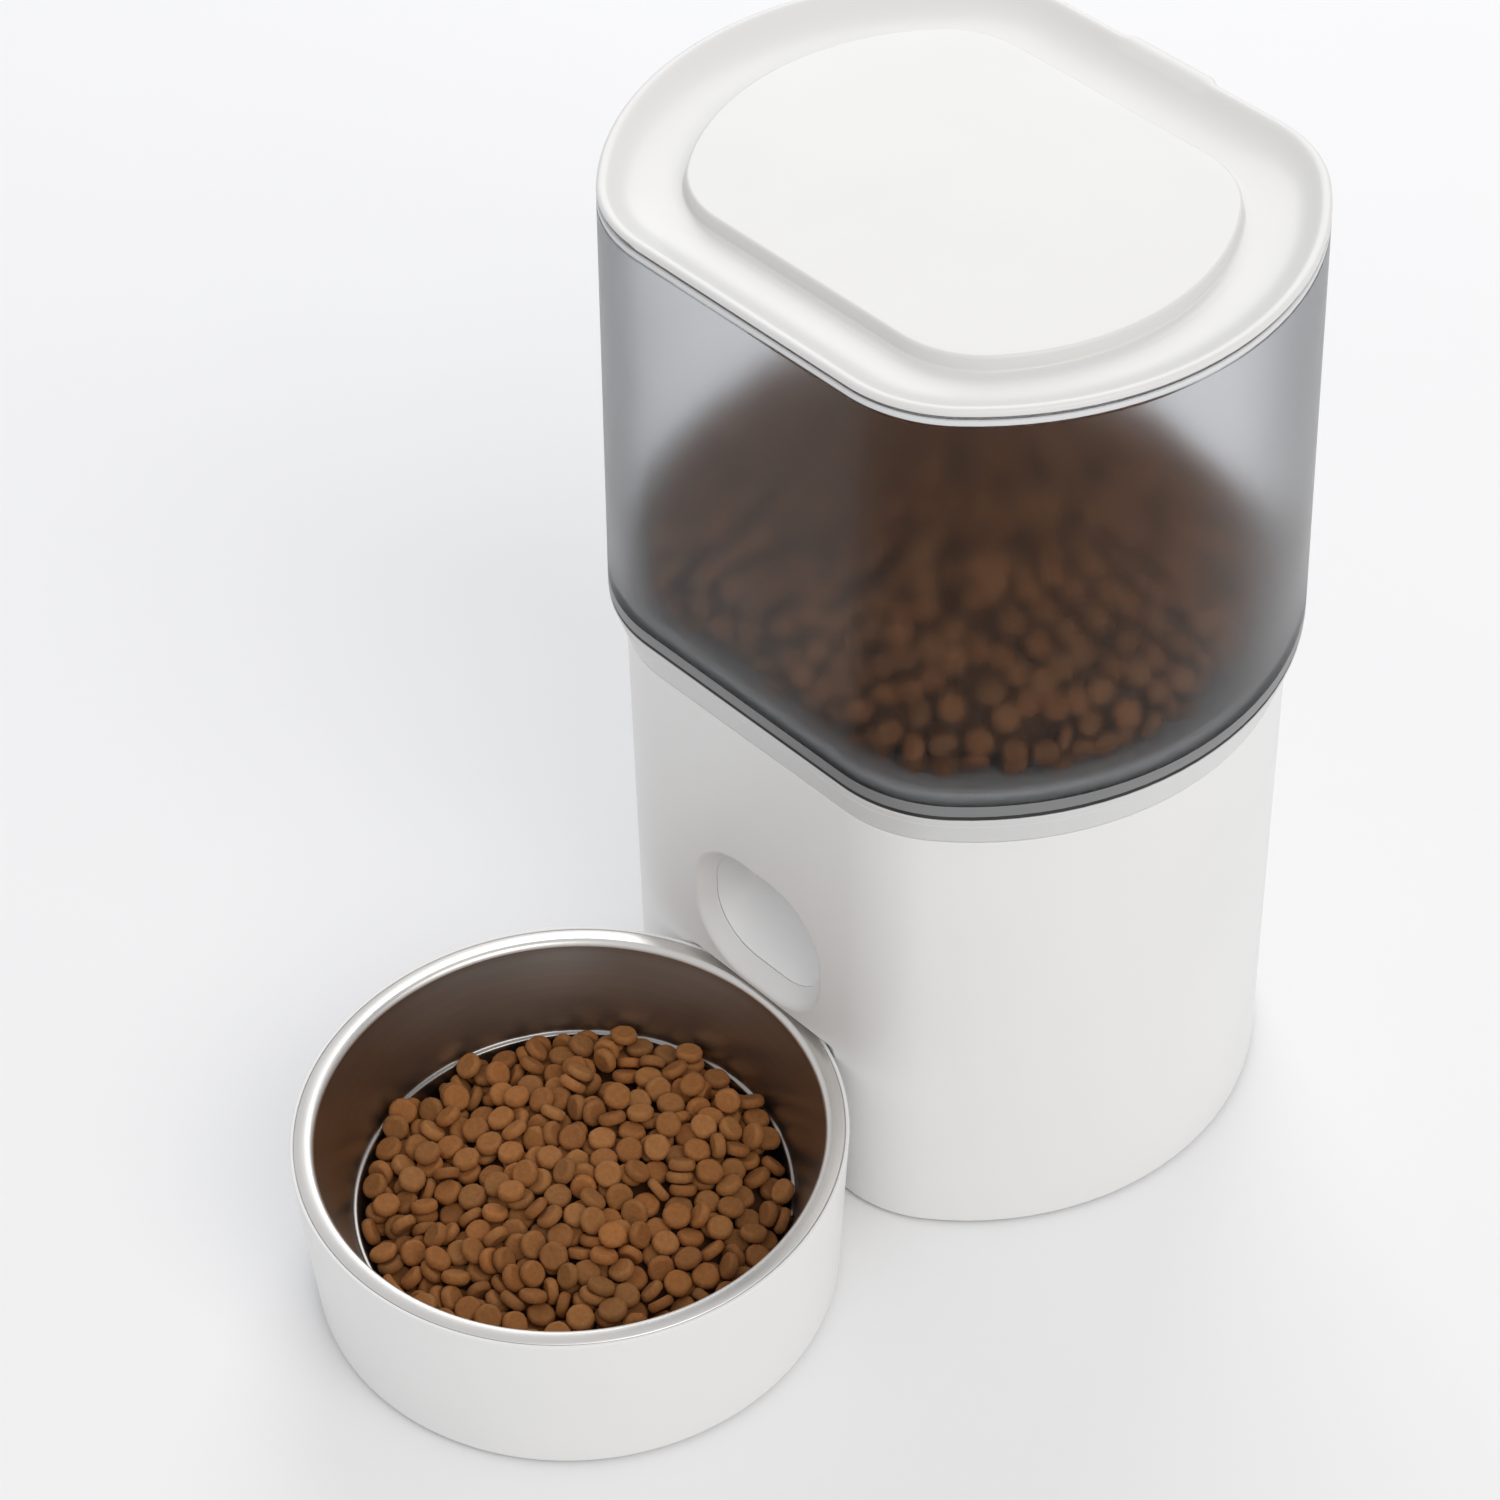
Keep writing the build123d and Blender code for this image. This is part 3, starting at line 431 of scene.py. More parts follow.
def kibble_material():
    """Baked dry food: matt, crumbly and a slightly different brown in each piece."""
    material, tree, shader, place = blank("kibble")
    shade = add(tree, "ShaderNodeAttribute", attribute_name="shade").outputs["Color"]
    crumbs = noise(tree, place, 700, 5, 0.7)
    tint = add(tree, "ShaderNodeMix", data_type="RGBA", blend_type="MULTIPLY")
    tint.inputs[0].default_value = 1.0
    crumb_shade = blended(tree, ranged(tree, crumbs, 0, 1), (0.78, 0.72, 0.66), (1.0, 1.0, 1.0))
    tree.links.new(crumb_shade, tint.inputs[6])
    tree.links.new(shade, tint.inputs[7])
    tree.links.new(tint.outputs[2], shader.inputs["Base Color"])
    tree.links.new(ranged(tree, crumbs, 0.88, 0.72), shader.inputs["Roughness"])
    pits = add(tree, "ShaderNodeTexVoronoi", {"Scale": 900.0}, {"Vector": place}).outputs["Distance"]
    height = add(tree, "ShaderNodeMath", {1: 0.6}, {0: pits, 2: crumbs}, operation="MULTIPLY_ADD")
    raised(tree, shader, height.outputs[0], 0.55, 0.0002)
    set_all(shader, {"Specular IOR Level": 0.22})
    return material


def jacket_material():
    """Printed film round a cell: a dark body with a lighter band at one end."""
    material, tree, shader, place = blank("cell_jacket")
    along = add(tree, "ShaderNodeSeparateXYZ", None, {"Vector": place}).outputs["Y"]
    start = middle("batteries", 1) * MM
    band = ranged(tree, along, 0, 1, start + 0.014, start + 0.0145)
    tree.links.new(blended(tree, band, (0.015, 0.03, 0.09), (0.55, 0.42, 0.16)), shader.inputs["Base Color"])
    tree.links.new(ranged(tree, noise(tree, place, 60, 4), 0.2, 0.34), shader.inputs["Roughness"])
    raised(tree, shader, noise(tree, place, 200, 3), 0.15, 0.0001)
    return material


BOARD, TANK, KIBBLE, JACKET = board_material(), tank_material(), kibble_material(), jacket_material()
FLANGE_STEEL = steel_material("steel", BOWL_Y, (0.30, 0.44), 0.35, ((0.74, 0.72, 0.69), (0.84, 0.82, 0.79)))
# The wall's steel is much darker than the flange's: painted shade for the dim inside of the bowl.
POLISHED_SHADED = steel_material("steel_polished_painted_shade", BOWL_Y, (0.28, 0.33), 0.08,
                          ((0.34, 0.325, 0.31), (0.40, 0.385, 0.37)))

SLOT_MATERIALS = {
    "white_plastic": WHITE, "lid_white": LID_WHITE, "smoke_tank": TANK, "steel": FLANGE_STEEL,
    "black_rubber": BLACK_RUBBER, "grey_rubber": GREY_RUBBER, "soft_vane": SOFT_VANE,
    "grey_plastic": GREY_PLASTIC, "clear_plastic": CLEAR, "dark_plastic": DARK_PLASTIC, "nylon": NYLON,
    "bronze": BRONZE, "screw_steel": ZINC, "motor_steel": PLATED, "board": BOARD, "board_parts": CHIPS,
    "cell_jacket": JACKET, "contact_metal": NICKEL, "lead": LEAD, "desiccant": PAPER,
}
for part in frame["record"]["subparts"]:
    node = frame["nodes"][part["node"]]
    for material_slot in node.material_slots:
        material_slot.material = SLOT_MATERIALS[part["material_slot"]]
# Painted shade: the white funnel gets the grey material.
for material_slot in frame["nodes"]["hopper_funnel"].material_slots:
    material_slot.material = FUNNEL_SHADE_GREY


# ---- base -----------------------------------------------------------------------------------
def base_housing():
    """White outer shell with its deck, the bowl's pocket, the mouth's lip and the rear openings."""
    section = rounded([(2.5, 149.0, 0), (2.5, FOOT_Z, 0.3), (0, FOOT_Z, 0.9), (0, BASE_TOP, 0.5),
                       (2.5, BASE_TOP, 0.3), (2.5, 151.5, 0)], closed=False)
    housing = shell("base_housing_shell", BASE_PLAN, section, closed=False)
    plug = turned("plug", [(84.7, FOOT_Z + 0.1), (84.7, 60.8)], y=BOWL_Y)
    inner = shell("inner", BASE_PLAN, [(1.2, 0), (1.2, 62.0)], closed=False)
    carve(plug, [inner], "INTERSECT")
    lip = loft("lip", [mouth_ring(1.0, 0), mouth_ring(5.0, 0)])
    posts = [turned("post", [(4.0, 3.9), (4.0, 150.0)], x, BASE_Y + y, count=24)
             for x, y in ((74, 18), (-74, 18), (72, -30), (-72, -30))]
    bosses = [turned("boss", [(3.0, BASE_Y + 63.7), (3.0, BACK - 1.0)], x, z, count=20, along_y=True)
              for x in (-31, 31) for z in (53, 95)]
    carve(housing, [plug, lip] + posts + bosses, "UNION")
    pocket = turned("pocket", [(POCKET_R, -1), (POCKET_R, 58.3)], y=BOWL_Y, count=160)
    rear, front = BOWL_Y + FLANGE_R, FRONT - 1
    rise = 58.3 + (rear - front) * math.tan(TIP_ANGLE)
    wedge = loft("wedge", [[(x, rear, 57.0), (x, rear, 58.3), (x, front, rise), (x, front, 57.0)]
                           for x in (-40, 40)])
    tip_space = turned("tip_space", [(POCKET_R, 56.0), (POCKET_R, 68.0)], y=BOWL_Y, count=160)
    carve(wedge, [tip_space], "INTERSECT")
    flare = loft("flare", [mouth_ring(depth, amount, 1.0 if amount < 0 else 1.5) for depth, amount in (
        (-0.5, -2.6), (-0.02, -1.3), (0.05, -0.95), (0.2, -0.45), (0.5, 0.05), (1.0, 0.5), (1.8, 1.1),
        (2.8, 1.85), (3.6, 2.45), (4.2, 2.9), (4.6, 3.15), (4.85, 3.25), (5.02, 3.3), (6.0, 3.3))])
    hole = turned("hole", rounded([(40, 147, 0), (40, 148.9, 0), (40, 153, 0)], False), y=ROTOR_Y, count=96)
    tools = [pocket, wedge, flare, hole]
    for x, radius in ((JACK_X, 4.6), (BUTTON_X, 5.3), (LIGHT_X, 1.65)):
        wide = radius + 0.5
        edge = [(radius, BACK - 5), (radius, BACK - 0.4), (wide, BACK + 0.1), (wide, BACK + 1)]
        tools.append(turned("rear_hole", edge, x, PANEL_Z, count=48, along_y=True))
    for x in (-18, 18):
        tools.append(slab("tongue_slot", (x - 4.6, x + 4.6), (FRONT - 1, FRONT + 16), (11.6, 15.4)))
    carve(housing, tools)
    even(housing)
    return finish_piece(housing, "base", "white_plastic", WHITE, "base_housing")


def collar_plan(z):
    share = min(1.0, max(0.0, (z - BASE_TOP) / (COLLAR_TOP - BASE_TOP)))
    return mixed(BASE_PLAN, TANK_FOOT_PLAN, share)


def collar_ring():
    """Flared ring, with a fine seam where it meets the base and a soft line under its top."""
    low, high = BASE_TOP, COLLAR_TOP
    section = rounded([
        (1.5, low + 0.02, 0), (0.55, low + 0.02, 0.2), (0.0, low + 0.7, 0.5), (0.0, high - 3.4, 0.4),
        (0.22, high - 3.0, 0.25), (0.0, high - 2.6, 0.4), (0.0, high, 0.4), (FLANGE_IN, high, 0.3),
        (FLANGE_IN, high - 2.5, 0), (2.5, high - 2.5, 0), (2.5, low + 2.3, 0), (4.8, low + 2.0, 0),
        (4.8, 151.6, 0), (2.85, 151.6, 0), (2.85, low + 0.02, 0)])
    collar = shell("collar_band", collar_plan, section, sharp=40)
    even(collar)
    # Painted shade: the collar takes the greyed copy of the white plastic.
    return finish_piece(collar, "base", "white_plastic", COLLAR_SHADED_WHITE, "collar_ring")


def food_chute():
    """Curved duct from under the rotor to the mouth, round-cornered inside."""
    stops = [((-75.75, 67.3), (-75.75, 105.4), 16.4), ((-71, 70.6), (-71.5, 105.9), 16.4),
             ((-65.5, 76.0), (-66, 106.8), 15.0), ((-59.5, 83.2), (-58, 108.2), 12.4),
             ((-50, 91.4), (-49, 109.4), 8.9), ((-36, 100.2), (-38.5, 110.3), 6.0),
             ((-20, 107.6), (-30, 111.2), 6.0), ((-12.4, 112.0), (-29, 112.4), 6.0),
             ((-12, 115.4), (-29, 115.4), 6.0)]
    inner, outer = [], []
    for (y0, z0), (y1, z1), corner in stops:
        low, high = Vector((y0 + BASE_Y, z0)), Vector((y1 + BASE_Y, z1))
        up = (high - low).normalized() * 1.5
        half_x = 22.9 if corner > 16 else 21.5
        inner.append(slot_ring(half_x, tuple(low), tuple(high), corner))
        outer.append(slot_ring(half_x + 1.5, tuple(low - up), tuple(high + up), corner + 1.5))
    front = FRONT + 5.2
    flange = [mouth_ring(5.2, 0.2), mouth_ring(6.6, 0.2)]
    chute = loft("chute_duct", inner + outer[::-1][:-1] + [outer[0]] + flange[::-1], closed=True, sharp=40)
    holes = []
    for side in (-1, 1):
        turns = [step * math.pi / 12 for step in range(24)]
        around = [(BASE_Y - 58 + 3.1 * math.cos(a), 88 + 3.1 * math.sin(a)) for a in turns]
        holes.append(loft("window_hole", [[(side * x, y, z) for y, z in around] for x in (20.0, 26.0)]))
    carve(chute, holes)
    # Painted light: the duct takes the lightened copy of the white plastic.
    return finish_piece(chute, "base", "white_plastic", DUCT_LIT_WHITE, "food_chute")


# ---- tank and lid ---------------------------------------------------------------------------
def tank_plan(z):
    return mixed(TANK_FOOT_PLAN, LID_PLAN, (z - TANK_FOOT) / (TANK_TOP - TANK_FOOT))


def tank_gasket():
    low, high = COLLAR_TOP + 0.01, SOLE_LOW - 0.01
    section = rounded([(0.25, low, 0.3), (0.25, high, 0.3), (1.5, high, 0.3), (1.5, low, 0.3)])
    gasket = shell("gasket_band", TANK_FOOT_PLAN, section)
    return finish_piece(gasket, "tank", "black_rubber", BLACK_RUBBER, "tank_gasket")


def tank():
    """Frosted wall on a solid dark grey sole, painted shade for the dim foot seen through the frost, with an
    inward flange and a pale bead round its top.
    """
    section = rounded([
        (0.0, SOLE_LOW, 0.3), (0.0, SHADE_SOLE_TOP, 0.0), (0.0, TANK_TOP - 3.1, 0.2),
        (0.35, TANK_TOP - 2.8, 0.2), (0.35, TANK_TOP - 2.5, 0.2), (0.0, TANK_TOP - 2.3, 0.2),
        (0.0, TANK_TOP - 0.9, 0.4), (0.6, TANK_TOP - 0.8, 0.1), (0.6, TANK_TOP, 0.2),
        (TANK_WALL, TANK_TOP, 0.6), (TANK_WALL, FLANGE_TOP, 1.2), (FLANGE_IN, FLANGE_TOP, 0.4),
        (FLANGE_IN, SOLE_LOW, 0.3)])
    walls = shell("tank_wall", tank_plan, section, flat=(0.0, 0.25, 0.5, 0.75), sharp=50)
    finish_piece(walls, "tank", "smoke_tank", TANK, "tank")
    walls.data.materials.append(TANK_BEAD)
    walls.data.materials.append(TANK_SOLE_SHADE)
    for face in walls.data.polygons:
        if (TANK_TOP - 2.6) * MM < face.center.z < (TANK_TOP - 0.75) * MM:
            face.material_index = 1
        # Faces below the sole's top take the dark grey: painted shade.
        if face.center.z < SHADE_SOLE_TOP * MM:
            face.material_index = 2
    return walls


def lid_cover():
    """White lid: a rounded rim, a dished border, a steep step and a flat middle."""
    step = rounded([(27.2, 314.1, 0), (24.2, 314.1, 0.9), (23.6, 309.65, 0.7), (20.5, 309.6, 0)], False)
    dish = smoothed([(20.5, 309.6), (17, 309.85), (13, 310.45), (9.5, 311.35), (7, 312.4), (5.2, 313.5),
                     (3.8, 314.5), (2.8, 315.1), (1.8, 315.4), (0.9, 315.4), (0.25, 315.15), (0, 314.6),
                     (0, 313.9), (0.15, 313.45), (0.6, 313.3)])
    top_line = step + dish[1:]
    underside = [(3.4, 313.3), (3.4, 310.0), (12.0, 310.0), (12.0, 308.2), (27.2, 308.2), (27.2, 312.2)]

    def shifted(x, y, z, amount):
        """A tab at the rear edge, and two shallow notches under the rim."""
        if amount < 5 and y > 60:
            share = 1 - min(1, max(0, (abs(x) - 14.5) / 2.5))
            y += 1.95 * share * (1 - amount / 5)
        notched = (-72 < x < -42 and y < 0) or (39 < x < 72 and y > 0)
        if notched and amount < 3.5 and 313.2 < z < 314.3:
            z += 0.75 * (314.35 - z)
        return (x, y, z)

    flat = (0.0, 0.1, 0.22, 0.28, 0.295, 0.31, 0.325, 0.34, 0.5, 0.66, 0.675, 0.69, 0.705, 0.72, 0.78, 0.9)
    rings = []
    for index, (amount, z) in enumerate(top_line + underside):
        plan = inset(LID_PLAN, amount)
        if index < len(top_line):
            middle_plan = inset(LID_MIDDLE_PLAN, amount - 24.0)
            share = min(1.0, max(0.0, (amount - 9) / 12))
            plan = mixed(plan, middle_plan, share * share * (3 - 2 * share))
        ring = [shifted(x, y, z, amount) for x, y in barrel(plan, flat)]
        rings.append([(x, y + BASE_Y, z) for x, y, z in ring])
    cover = loft("lid_skin", rings, sharp=40)
    even(cover)
    return finish_piece(cover, "lid", "lid_white", LID_WHITE, "lid_cover")


# ---- bowl -----------------------------------------------------------------------------------
def bowl_holder():
    """White cup with a soft foot edge, a ledge for the flange and two tongues."""
    section = rounded([
        (0.5, FOOT_Z, 0), (78.2, FOOT_Z, 1.8), (81.55, RIM_Z, 0.45), (80.5, RIM_Z, 0.2),
        (80.5, RIM_Z - 0.9, 0), (77.2, RIM_Z - 0.9, 0.3), (77.2, RIM_Z - 3.2, 0), (78.0, RIM_Z - 3.2, 0),
        (75.8, FOOT_Z + 2.4, 4.0), (0.5, FOOT_Z + 2.4, 0)], closed=False)
    holder = turned("holder_cup", section, y=BOWL_Y, count=160)
    tongues = [slab("tongue", (x - 4, x + 4), (BOWL_Y + 75.5, BOWL_Y + 87.5), (12.0, 15.0))
               for x in (-18, 18)]
    carve(holder, tongues, "UNION")
    recesses = [turned("recess", [(6.1, 0.2), (6.1, FOOT_Z + 0.6)], 62 * math.cos(math.radians(a)),
                       BOWL_Y + 62 * math.sin(math.radians(a)), count=32) for a in (30, 150, 270)]
    carve(holder, recesses)
    even(holder)
    return finish_piece(holder, "holder", "white_plastic", WHITE, "bowl_holder")


def steel_bowl():
    """Pressed bowl: flat brushed flange, rolled edge, polished wall in a darkened steel of painted shade, a
    knuckle and a flat floor.
    """
    z = RIM_Z
    inside = smoothed([(0.5, 14.0), (49.0, 14.0), (53.5, 14.25), (57.5, 15.4), (60.6, 17.7), (62.6, 21.0),
                       (63.7, 25.2), (64.0, 27.3), (64.25, 28.1), (65.2, 28.3), (65.6, 28.8), (65.9, 30.0),
                       (74.4, z - 2.4), (74.7, z - 1.2), (75.3, z - 0.35), (76.3, z)], 2)
    flange = [(76.5, z), (FLANGE_R - 0.3, z), (FLANGE_R, z - 0.25), (FLANGE_R, z - 0.8), (76.3, z - 0.8)]
    outside = smoothed([(76.0, z - 0.9), (75.3, z - 2.2), (66.8, 29.8), (65.2, 25.6), (61.4, 17.2),
                        (57.9, 14.7), (53.6, 13.5), (49.0, 13.2), (0.5, 13.2)], 2)
    bowl = turned("bowl_steel", inside + flange + outside, y=BOWL_Y, count=160, sharp=50)
    finish_piece(bowl, "bowl", "steel", FLANGE_STEEL, "steel_bowl")
    bowl.data.materials.append(POLISHED_SHADED)
    # Faces inside the brushed radius take the darkened steel: painted shade.
    for face in bowl.data.polygons:
        reach = math.hypot(face.center.x, face.center.y - BOWL_Y * MM)
        face.material_index = 0 if reach > BRUSHED_R * MM else 1
    return bowl


# ---- contents -------------------------------------------------------------------------------
def disc_points(radius, half, steps, rings):
    """A rounded tablet: (points, faces) for one piece of dry food."""
    points, faces = [], []
    for across, up in rings:
        for step in range(steps):
            angle = 2 * math.pi * step / steps
            reach = radius * across
            points.append(Vector((reach * math.cos(angle), reach * math.sin(angle), half * up)))
    for low in range(len(rings) - 1):
        for first in range(steps):
            second = (first + 1) % steps
            faces.append((low * steps + first, (low + 1) * steps + first, (low + 1) * steps + second,
                          low * steps + second))
    faces.append(tuple(range(steps)))
    faces.append(tuple((len(rings) - 1) * steps + index for index in reversed(range(steps))))
    return points, faces


FINE = ((0.3, 0.94), (0.62, 0.95), (0.74, 1.0), (0.85, 0.9), (0.95, 0.62), (1.0, 0.22), (1.0, -0.22),
        (0.95, -0.62), (0.85, -0.9), (0.74, -1.0), (0.62, -0.95), (0.3, -0.94))
COARSE = ((0.55, 0.96), (0.78, 0.94), (0.95, 0.55), (1.0, 0.0), (0.95, -0.55), (0.78, -0.94), (0.55, -0.96))


def food(name, places, shade_bed, steps, rings, body, colour=(0.35, 0.148, 0.046)):
    """One mesh of many tablets at the given places, over a dark brown bed in the gaps: painted shade for the
    food deeper down.
    """
    points, faces, shades = [], [], []
    for place in places:
        radius, half = random.uniform(3.95, 4.3), random.uniform(1.45, 1.7)
        tablet, tablet_faces = disc_points(radius, half, steps, rings)
        light = random.uniform(0.80, 1.12)
        warm = random.uniform(0.94, 1.06)
        tint = (colour[0] * light, colour[1] * light * warm, colour[2] * light * warm * warm, 1)
        first = len(points)
        lumps = [random.uniform(0.965, 1.035) for _ in range(steps)]
        for index, point in enumerate(tablet):
            wobble = lumps[index % steps] * random.uniform(0.99, 1.01)
            points.append(place @ Vector((point.x * wobble, point.y * wobble, point.z)))
            shades.append(tint)
        faces += [tuple(first + index for index in face) for face in tablet_faces]
    first = len(points)
    points += shade_bed[0]
    faces += [tuple(first + index for index in face) for face in shade_bed[1]]
    # The bed's dark brown is painted shade for the deeper food between the tablets.
    shades += [(0.10, 0.042, 0.016, 1)] * len(shade_bed[0])
    heap = build(name, [tuple(point) for point in points], faces, sharp=70)
    shade = heap.data.color_attributes.new("shade", "FLOAT_COLOR", "POINT")
    for item, tint in zip(shade.data, shades):
        item.color = tint
    return finish_piece(heap, body, None, KIBBLE)


def turned_at_random():
    return Quaternion([random.gauss(0, 1) for _ in range(4)]).normalized()


def bed_height(x, y):
    """Height of the deeper food in the bowl, highest on the mouth's side."""
    return 18.5 + 12.0 * max(0.0, 1 - (math.hypot(x, y - 14) / 64) ** 2)


def bowl_bed(reach, rings=14, around=36):
    points, faces = [Vector((0, 0, bed_height(0, 0)))], []
    for ring in range(1, rings + 1):
        for step in range(around):
            angle = 2 * math.pi * step / around
            x, y = reach * ring / rings * math.cos(angle), reach * ring / rings * math.sin(angle)
            points.append(Vector((x, y, bed_height(x, y))))
    for step in range(around):
        faces.append((0, 1 + step, 1 + (step + 1) % around))
    for ring in range(rings - 1):
        for step in range(around):
            first, second = 1 + ring * around + step, 1 + ring * around + (step + 1) % around
            faces.append((first, first + around, second + around, second))
    return points, faces


def dropped(count):
    """Lets tablets fall into the bowl and returns where each one comes to rest, from the bowl's axis."""
    scene = bpy.context.scene
    size = 0.05                      # a larger model falls more steadily: 1 mm is 5 cm here
    bpy.ops.rigidbody.world_add()
    world = scene.rigidbody_world
    world.collection = bpy.data.collections.new("falling")
    world.substeps_per_frame, world.solver_iterations = 8, 12
    world.point_cache.frame_end = 140

    def mesh_of(name, points, faces):
        mesh = bpy.data.meshes.new(name)
        mesh.from_pydata([tuple(Vector(point) * size) for point in points], [], faces)
        return mesh

    wall = [(0.1, 16), (50, 15.5), (60.2, 17.4), (64.5, 28), (74.0, 57.5), (74.0, 220)]
    turns = [step * math.pi / 32 for step in range(64)]
    points = [(r * math.cos(a), r * math.sin(a), z) for r, z in wall for a in turns]
    faces = [(k * 64 + i, k * 64 + (i + 1) % 64, k * 64 + 64 + (i + 1) % 64, k * 64 + 64 + i)
             for k in range(len(wall) - 1) for i in range(64)]
    held = [mesh_of("fall_wall", points, faces), mesh_of("fall_bed", *bowl_bed(66.5))]
    held = [bpy.data.objects.new(mesh.name, mesh) for mesh in held]
    edge = ((0.74, 1.0), (0.92, 0.75), (1.0, 0.2), (1.0, -0.2), (0.92, -0.75), (0.74, -1.0))
    tablet = mesh_of("fall_tablet", *disc_points(4.15, 1.6, 12, edge))
    falling, layer = [], 0
    while len(falling) < count:
        for column in range(-6, 7):
            for row in range(-6, 7):
                x, y = (column + random.uniform(-0.2, 0.2)) * 10, (row + random.uniform(-0.2, 0.2)) * 10
                if math.hypot(x, y) < 57 and len(falling) < count:
                    item = bpy.data.objects.new("fall", tablet)
                    place = Matrix.Translation(Vector((x, y, 46 + layer * 10.5)) * size)
                    item.matrix_world = place @ turned_at_random().to_matrix().to_4x4()
                    falling.append(item)
        layer += 1
    for item in held + falling:
        scene.collection.objects.link(item)
        world.collection.objects.link(item)
        solid = item.rigid_body
        solid.type = "PASSIVE" if item in held else "ACTIVE"
        solid.collision_shape = "MESH" if item in held else "CONVEX_HULL"
        solid.friction, solid.restitution = 0.55, 0.02
        solid.use_margin, solid.collision_margin = True, 0.006
        if item not in held:
            solid.linear_damping, solid.angular_damping = 0.1, 0.3
    for step in range(1, 121):
        scene.frame_set(step)
    depsgraph = bpy.context.evaluated_depsgraph_get()
    rest = []
    for item in falling:
        place = item.evaluated_get(depsgraph).matrix_world
        spot = place.translation / size
        if math.hypot(spot.x, spot.y) < 70 and spot.z > 14:
            rest.append(Matrix.Translation(spot) @ place.to_quaternion().to_matrix().to_4x4())
    bpy.ops.rigidbody.world_remove()
    for item in held + falling:
        bpy.data.objects.remove(item)
    scene.frame_set(1)
    return rest


def kibble_in_bowl():
    places = dropped(BOWL_TABLETS)
    shift = Matrix.Translation((0, BOWL_Y, 0))
    bed_points, bed_faces = bowl_bed(59.0)
    shade_bed = ([shift @ (point - Vector((0, 0, 1.5))) for point in bed_points], bed_faces)
    return food("kibble_in_bowl", [shift @ place for place in places], shade_bed, 16, FINE, "bowl")


HEAP = [(0.30, 169.0), (0.62, 173.0), (0.84, 178.0), (0.90, 180.5), (0.918, 186.0), (0.90, 193.0),
        (0.84, 201.0), (0.71, 210.0), (0.50, 219.0), (0.25, 226.0), (0.04, 228.0)]


def heap_rings(shrink):
    """The food in the tank: rings of the tank's plan, scaled, from the funnel up to a rounded top."""
    rings = []
    for share, z in HEAP:
        plan = inset(tank_plan(200.0), TANK_WALL)
        lift = -shrink if z > 190 else 0.0
        scale = share - shrink / 90
        outline = barrel(plan, (0.0, 0.2, 0.4, 0.6, 0.8), 6, 12)
        rings.append([Vector((x * scale, y * scale + BASE_Y, z + lift)) for x, y in outline])
    return rings


def kibble_in_tank():
    """Tablets thrown at random on the heap's skin, none closer than HEAP_SPACING to another."""
    rings = heap_rings(2.0)
    count = len(rings[0])
    places, taken = [], {}
    for low, high in zip(rings, rings[1:]):
        for index in range(count):
            following = (index + 1) % count
            corners = (low[index], low[following], high[following], high[index])
            normal = (corners[2] - corners[0]).cross(corners[3] - corners[1])
            area = normal.length / 2
            normal.normalize()
            for _ in range(max(1, int(area / 9))):
                u, v = random.random(), random.random()
                spot = corners[0].lerp(corners[1], u).lerp(corners[3].lerp(corners[2], u), v)
                cell = tuple(int(value // HEAP_CELL) for value in spot)
                near = [taken.get((cell[0] + i, cell[1] + j, cell[2] + k), []) for i in (-1, 0, 1)
                        for j in (-1, 0, 1) for k in (-1, 0, 1)]
                if any((spot - other).length < HEAP_SPACING for group in near for other in group):
                    continue
                taken.setdefault(cell, []).append(spot)
                facing = normal.to_track_quat("Z", "Y")
                lean = Quaternion((random.gauss(0, 1), random.gauss(0, 1), 0.01), random.gauss(0, 0.55))
                place = Matrix.Translation(spot + normal * random.uniform(-1.5, 1.5))
                places.append(place @ (facing @ lean).to_matrix().to_4x4())
    # The core is a dark bed under the tank's tablets: painted shade for the food inside the heap.
    shade_core = heap_rings(5.5)
    points = [point for ring in shade_core for point in ring]
    faces = [(k + i, k + (i + 1) % count, k + count + (i + 1) % count, k + count + i)
             for k in range(0, (len(shade_core) - 1) * count, count) for i in range(count)]
    faces += [tuple(reversed(range(count))), tuple((len(shade_core) - 1) * count + i for i in range(count))]
    # The tank's tablets get a darker brown than the bowl's: painted shade for food under the lid and behind
    # the frosted wall.
    return food("kibble_in_tank", places, (points, faces), 10, COARSE, "tank", (0.22, 0.09, 0.031))


# ---- small inner pieces ---------------------------------------------------------------------
def cells():
    """Large round cells: film jackets with crimped metal ends."""
    low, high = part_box("batteries")
    front, back = low[1] / MM, high[1] / MM
    centre_z, radius = (low[2] + high[2]) / 2 / MM, (high[2] - low[2]) / 2 / MM
    for index, x in enumerate((-34.4, 0.0, 34.4)):
        flipped = index == 1
        jacket = rounded([(radius - 3.4, front + 0.2, 0), (radius, front, 1.2), (radius, back - 1.6, 1.4),
                          (radius - 3.4, back - 1.7, 0)], False)
        metal = rounded([(0.3, front + 0.4, 0), (radius - 3.5, front + 0.4, 0),
                         (radius - 3.5, back - 1.8, 0), (5.6, back - 1.8, 0.5), (4.7, back - 1.6, 0.2),
                         (4.7, back, 0.8), (0.3, back, 0)], False)
        for name, line, material, slot_name in (("cell_film", jacket, JACKET, "cell_jacket"),
                                                ("cell_end", metal, ZINC, "screw_steel")):
            section = [(r, front + back - y if flipped else y) for r, y in line]
            piece = turned(f"{name}_{index + 1}", section, x, centre_z, count=48, along_y=True)
            finish_piece(piece, "base", slot_name, material, "batteries")


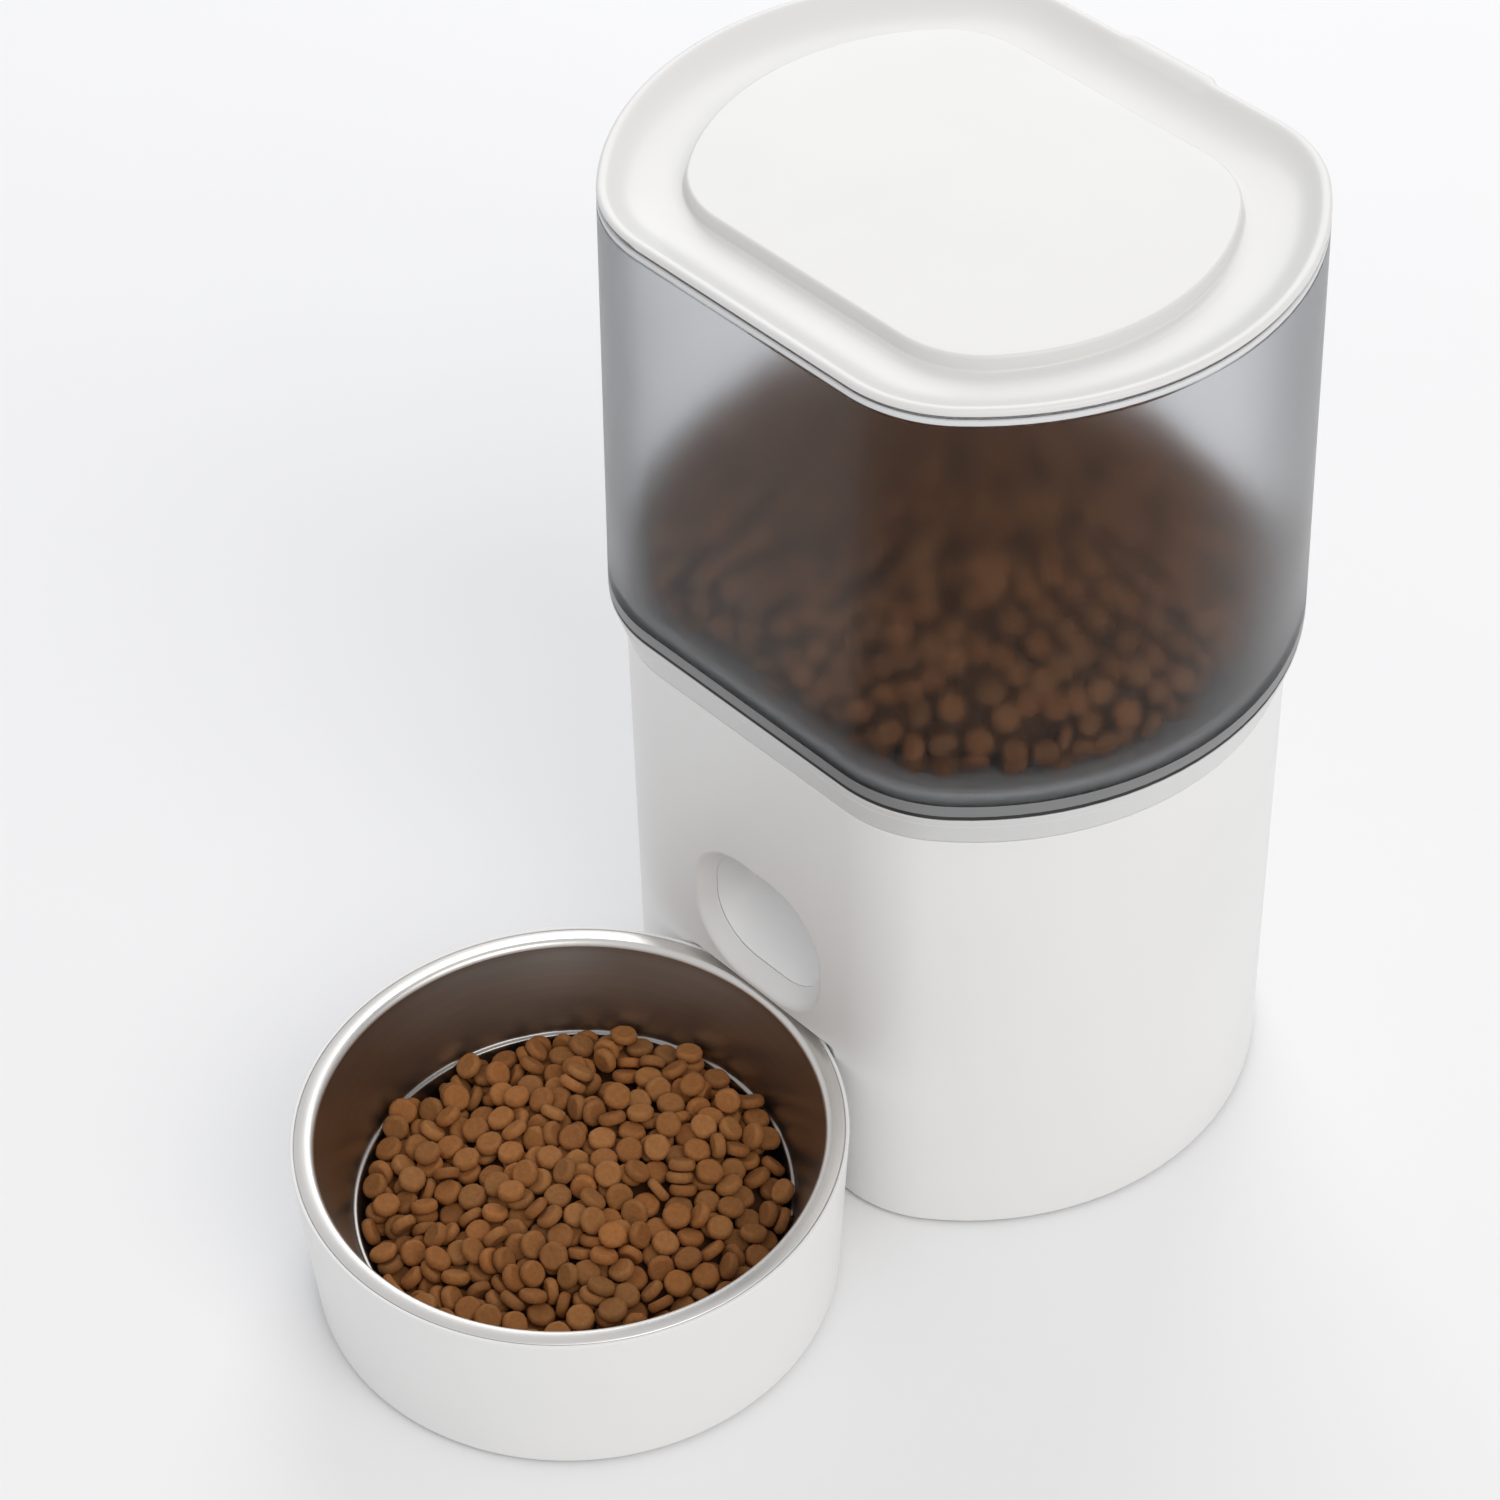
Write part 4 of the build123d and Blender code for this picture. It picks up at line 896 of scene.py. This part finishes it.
def desiccant_pouch():
    """Paper pouch, puffed in the middle, with a flat sealed edge."""
    low, high = (Vector(corner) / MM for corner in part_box("desiccant_pack"))
    centre, half = (low + high) / 2, (high - low) / 2
    points, faces, steps = [], [], 24
    for side in (1, -1):
        for row in range(steps + 1):
            for column in range(steps + 1):
                u, v = 2 * column / steps - 1, 2 * row / steps - 1
                puff = max(0.0, (1 - (abs(u) / 0.88) ** 4)) * max(0.0, (1 - (abs(v) / 0.88) ** 4))
                crease = 1 + 0.06 * math.sin(9 * u + 3 * v) * math.sin(7 * v - 2 * u)
                rise = side * (0.25 + (half.z - 0.5) * puff ** 0.5 * crease)
                pull = 1 - 0.05 * (1 - abs(u * v)) * max(abs(u), abs(v)) ** 4
                points.append((centre.x + u * half.x * pull * 0.97, centre.y + v * half.y * pull * 0.97,
                               centre.z + max(-half.z, min(half.z, rise))))
    size = (steps + 1) ** 2
    for side in (0, 1):
        for row in range(steps):
            for column in range(steps):
                first = side * size + row * (steps + 1) + column
                faces.append((first, first + 1, first + steps + 2, first + steps + 1))
    border = ([i for i in range(steps)] + [i * (steps + 1) + steps for i in range(steps)]
              + [steps * (steps + 1) + i for i in range(steps, 0, -1)]
              + [i * (steps + 1) for i in range(steps, 0, -1)])
    for first, second in zip(border, border[1:] + border[:1]):
        faces.append((first, second, size + second, size + first))
    pouch = build("desiccant_pouch", points, faces, sharp=60)
    finish_piece(pouch, "lid", "desiccant", PAPER, "desiccant_pack")


base_housing()
collar_ring()
food_chute()
tank_gasket()
tank()
lid_cover()
bowl_holder()
steel_bowl()
kibble_in_bowl()
kibble_in_tank()
cells()
desiccant_pouch()


# ---- stage: camera, floor, light ------------------------------------------------------------
def add_camera():
    """The viewing angle, from the front right and above, with the camera slightly rolled."""
    azimuth, elevation, roll = math.radians(48.27), math.radians(43.38), math.radians(-1.6)
    distance, lens = 1.3609, 101.07
    look_at = Vector((-0.0916, BASE_Y * MM, 0.0438))
    back = Vector((math.sin(azimuth) * math.cos(elevation), -math.cos(azimuth) * math.cos(elevation),
                   math.sin(elevation)))
    right = Vector((math.cos(azimuth), math.sin(azimuth), 0))
    up = back.cross(right)
    right, up = (right * math.cos(roll) + up * math.sin(roll), up * math.cos(roll) - right * math.sin(roll))
    data = bpy.data.cameras.new("camera")
    data.lens = lens
    camera = bpy.data.objects.new("camera", data)
    turn = Matrix((right, up, back)).transposed().to_4x4()
    camera.matrix_world = Matrix.Translation(look_at + back * distance) @ turn
    bpy.context.scene.collection.objects.link(camera)
    bpy.context.scene.camera = camera


def add_light(name, place, target, size, power, colour=(1, 1, 1)):
    data = bpy.data.lights.new(name, "AREA")
    data.shape, data.size, data.energy, data.color = "DISK", size, power, colour
    light = bpy.data.objects.new(name, data)
    light.location = place
    light.rotation_euler = (Vector(target) - Vector(place)).to_track_quat("-Z", "Y").to_euler()
    bpy.context.scene.collection.objects.link(light)


def add_stage():
    world = bpy.data.worlds.new("studio")
    world.use_nodes = True
    world.node_tree.nodes["Background"].inputs[0].default_value = (0.965, 0.972, 0.99, 1)
    world.node_tree.nodes["Background"].inputs[1].default_value = 0.69
    bpy.context.scene.world = world
    bpy.context.scene.view_settings.view_transform = "Standard"
    add_light("key", (3.48, -0.6, 3.54), (0, 0.05, 0.1), 3.8, 80, (1.0, 0.97, 0.935))
    add_light("back", (-1.56, 1.7, 1.73), (-0.15, 0.15, 0.05), 1.9, 22, (0.985, 0.99, 1.0))
    far = 6000
    corners = [(-far, -far, 0), (far, -far, 0), (far, far, 0), (-far, far, 0)]
    floor = build("floor", corners, [(0, 1, 2, 3)])
    paper = surface("floor_paper", (0.885, 0.885, 0.89), (0.895, 0.895, 0.90), (0.6, 0.7), mottle=2.0)
    floor.data.materials.append(paper)


add_camera()
add_stage()
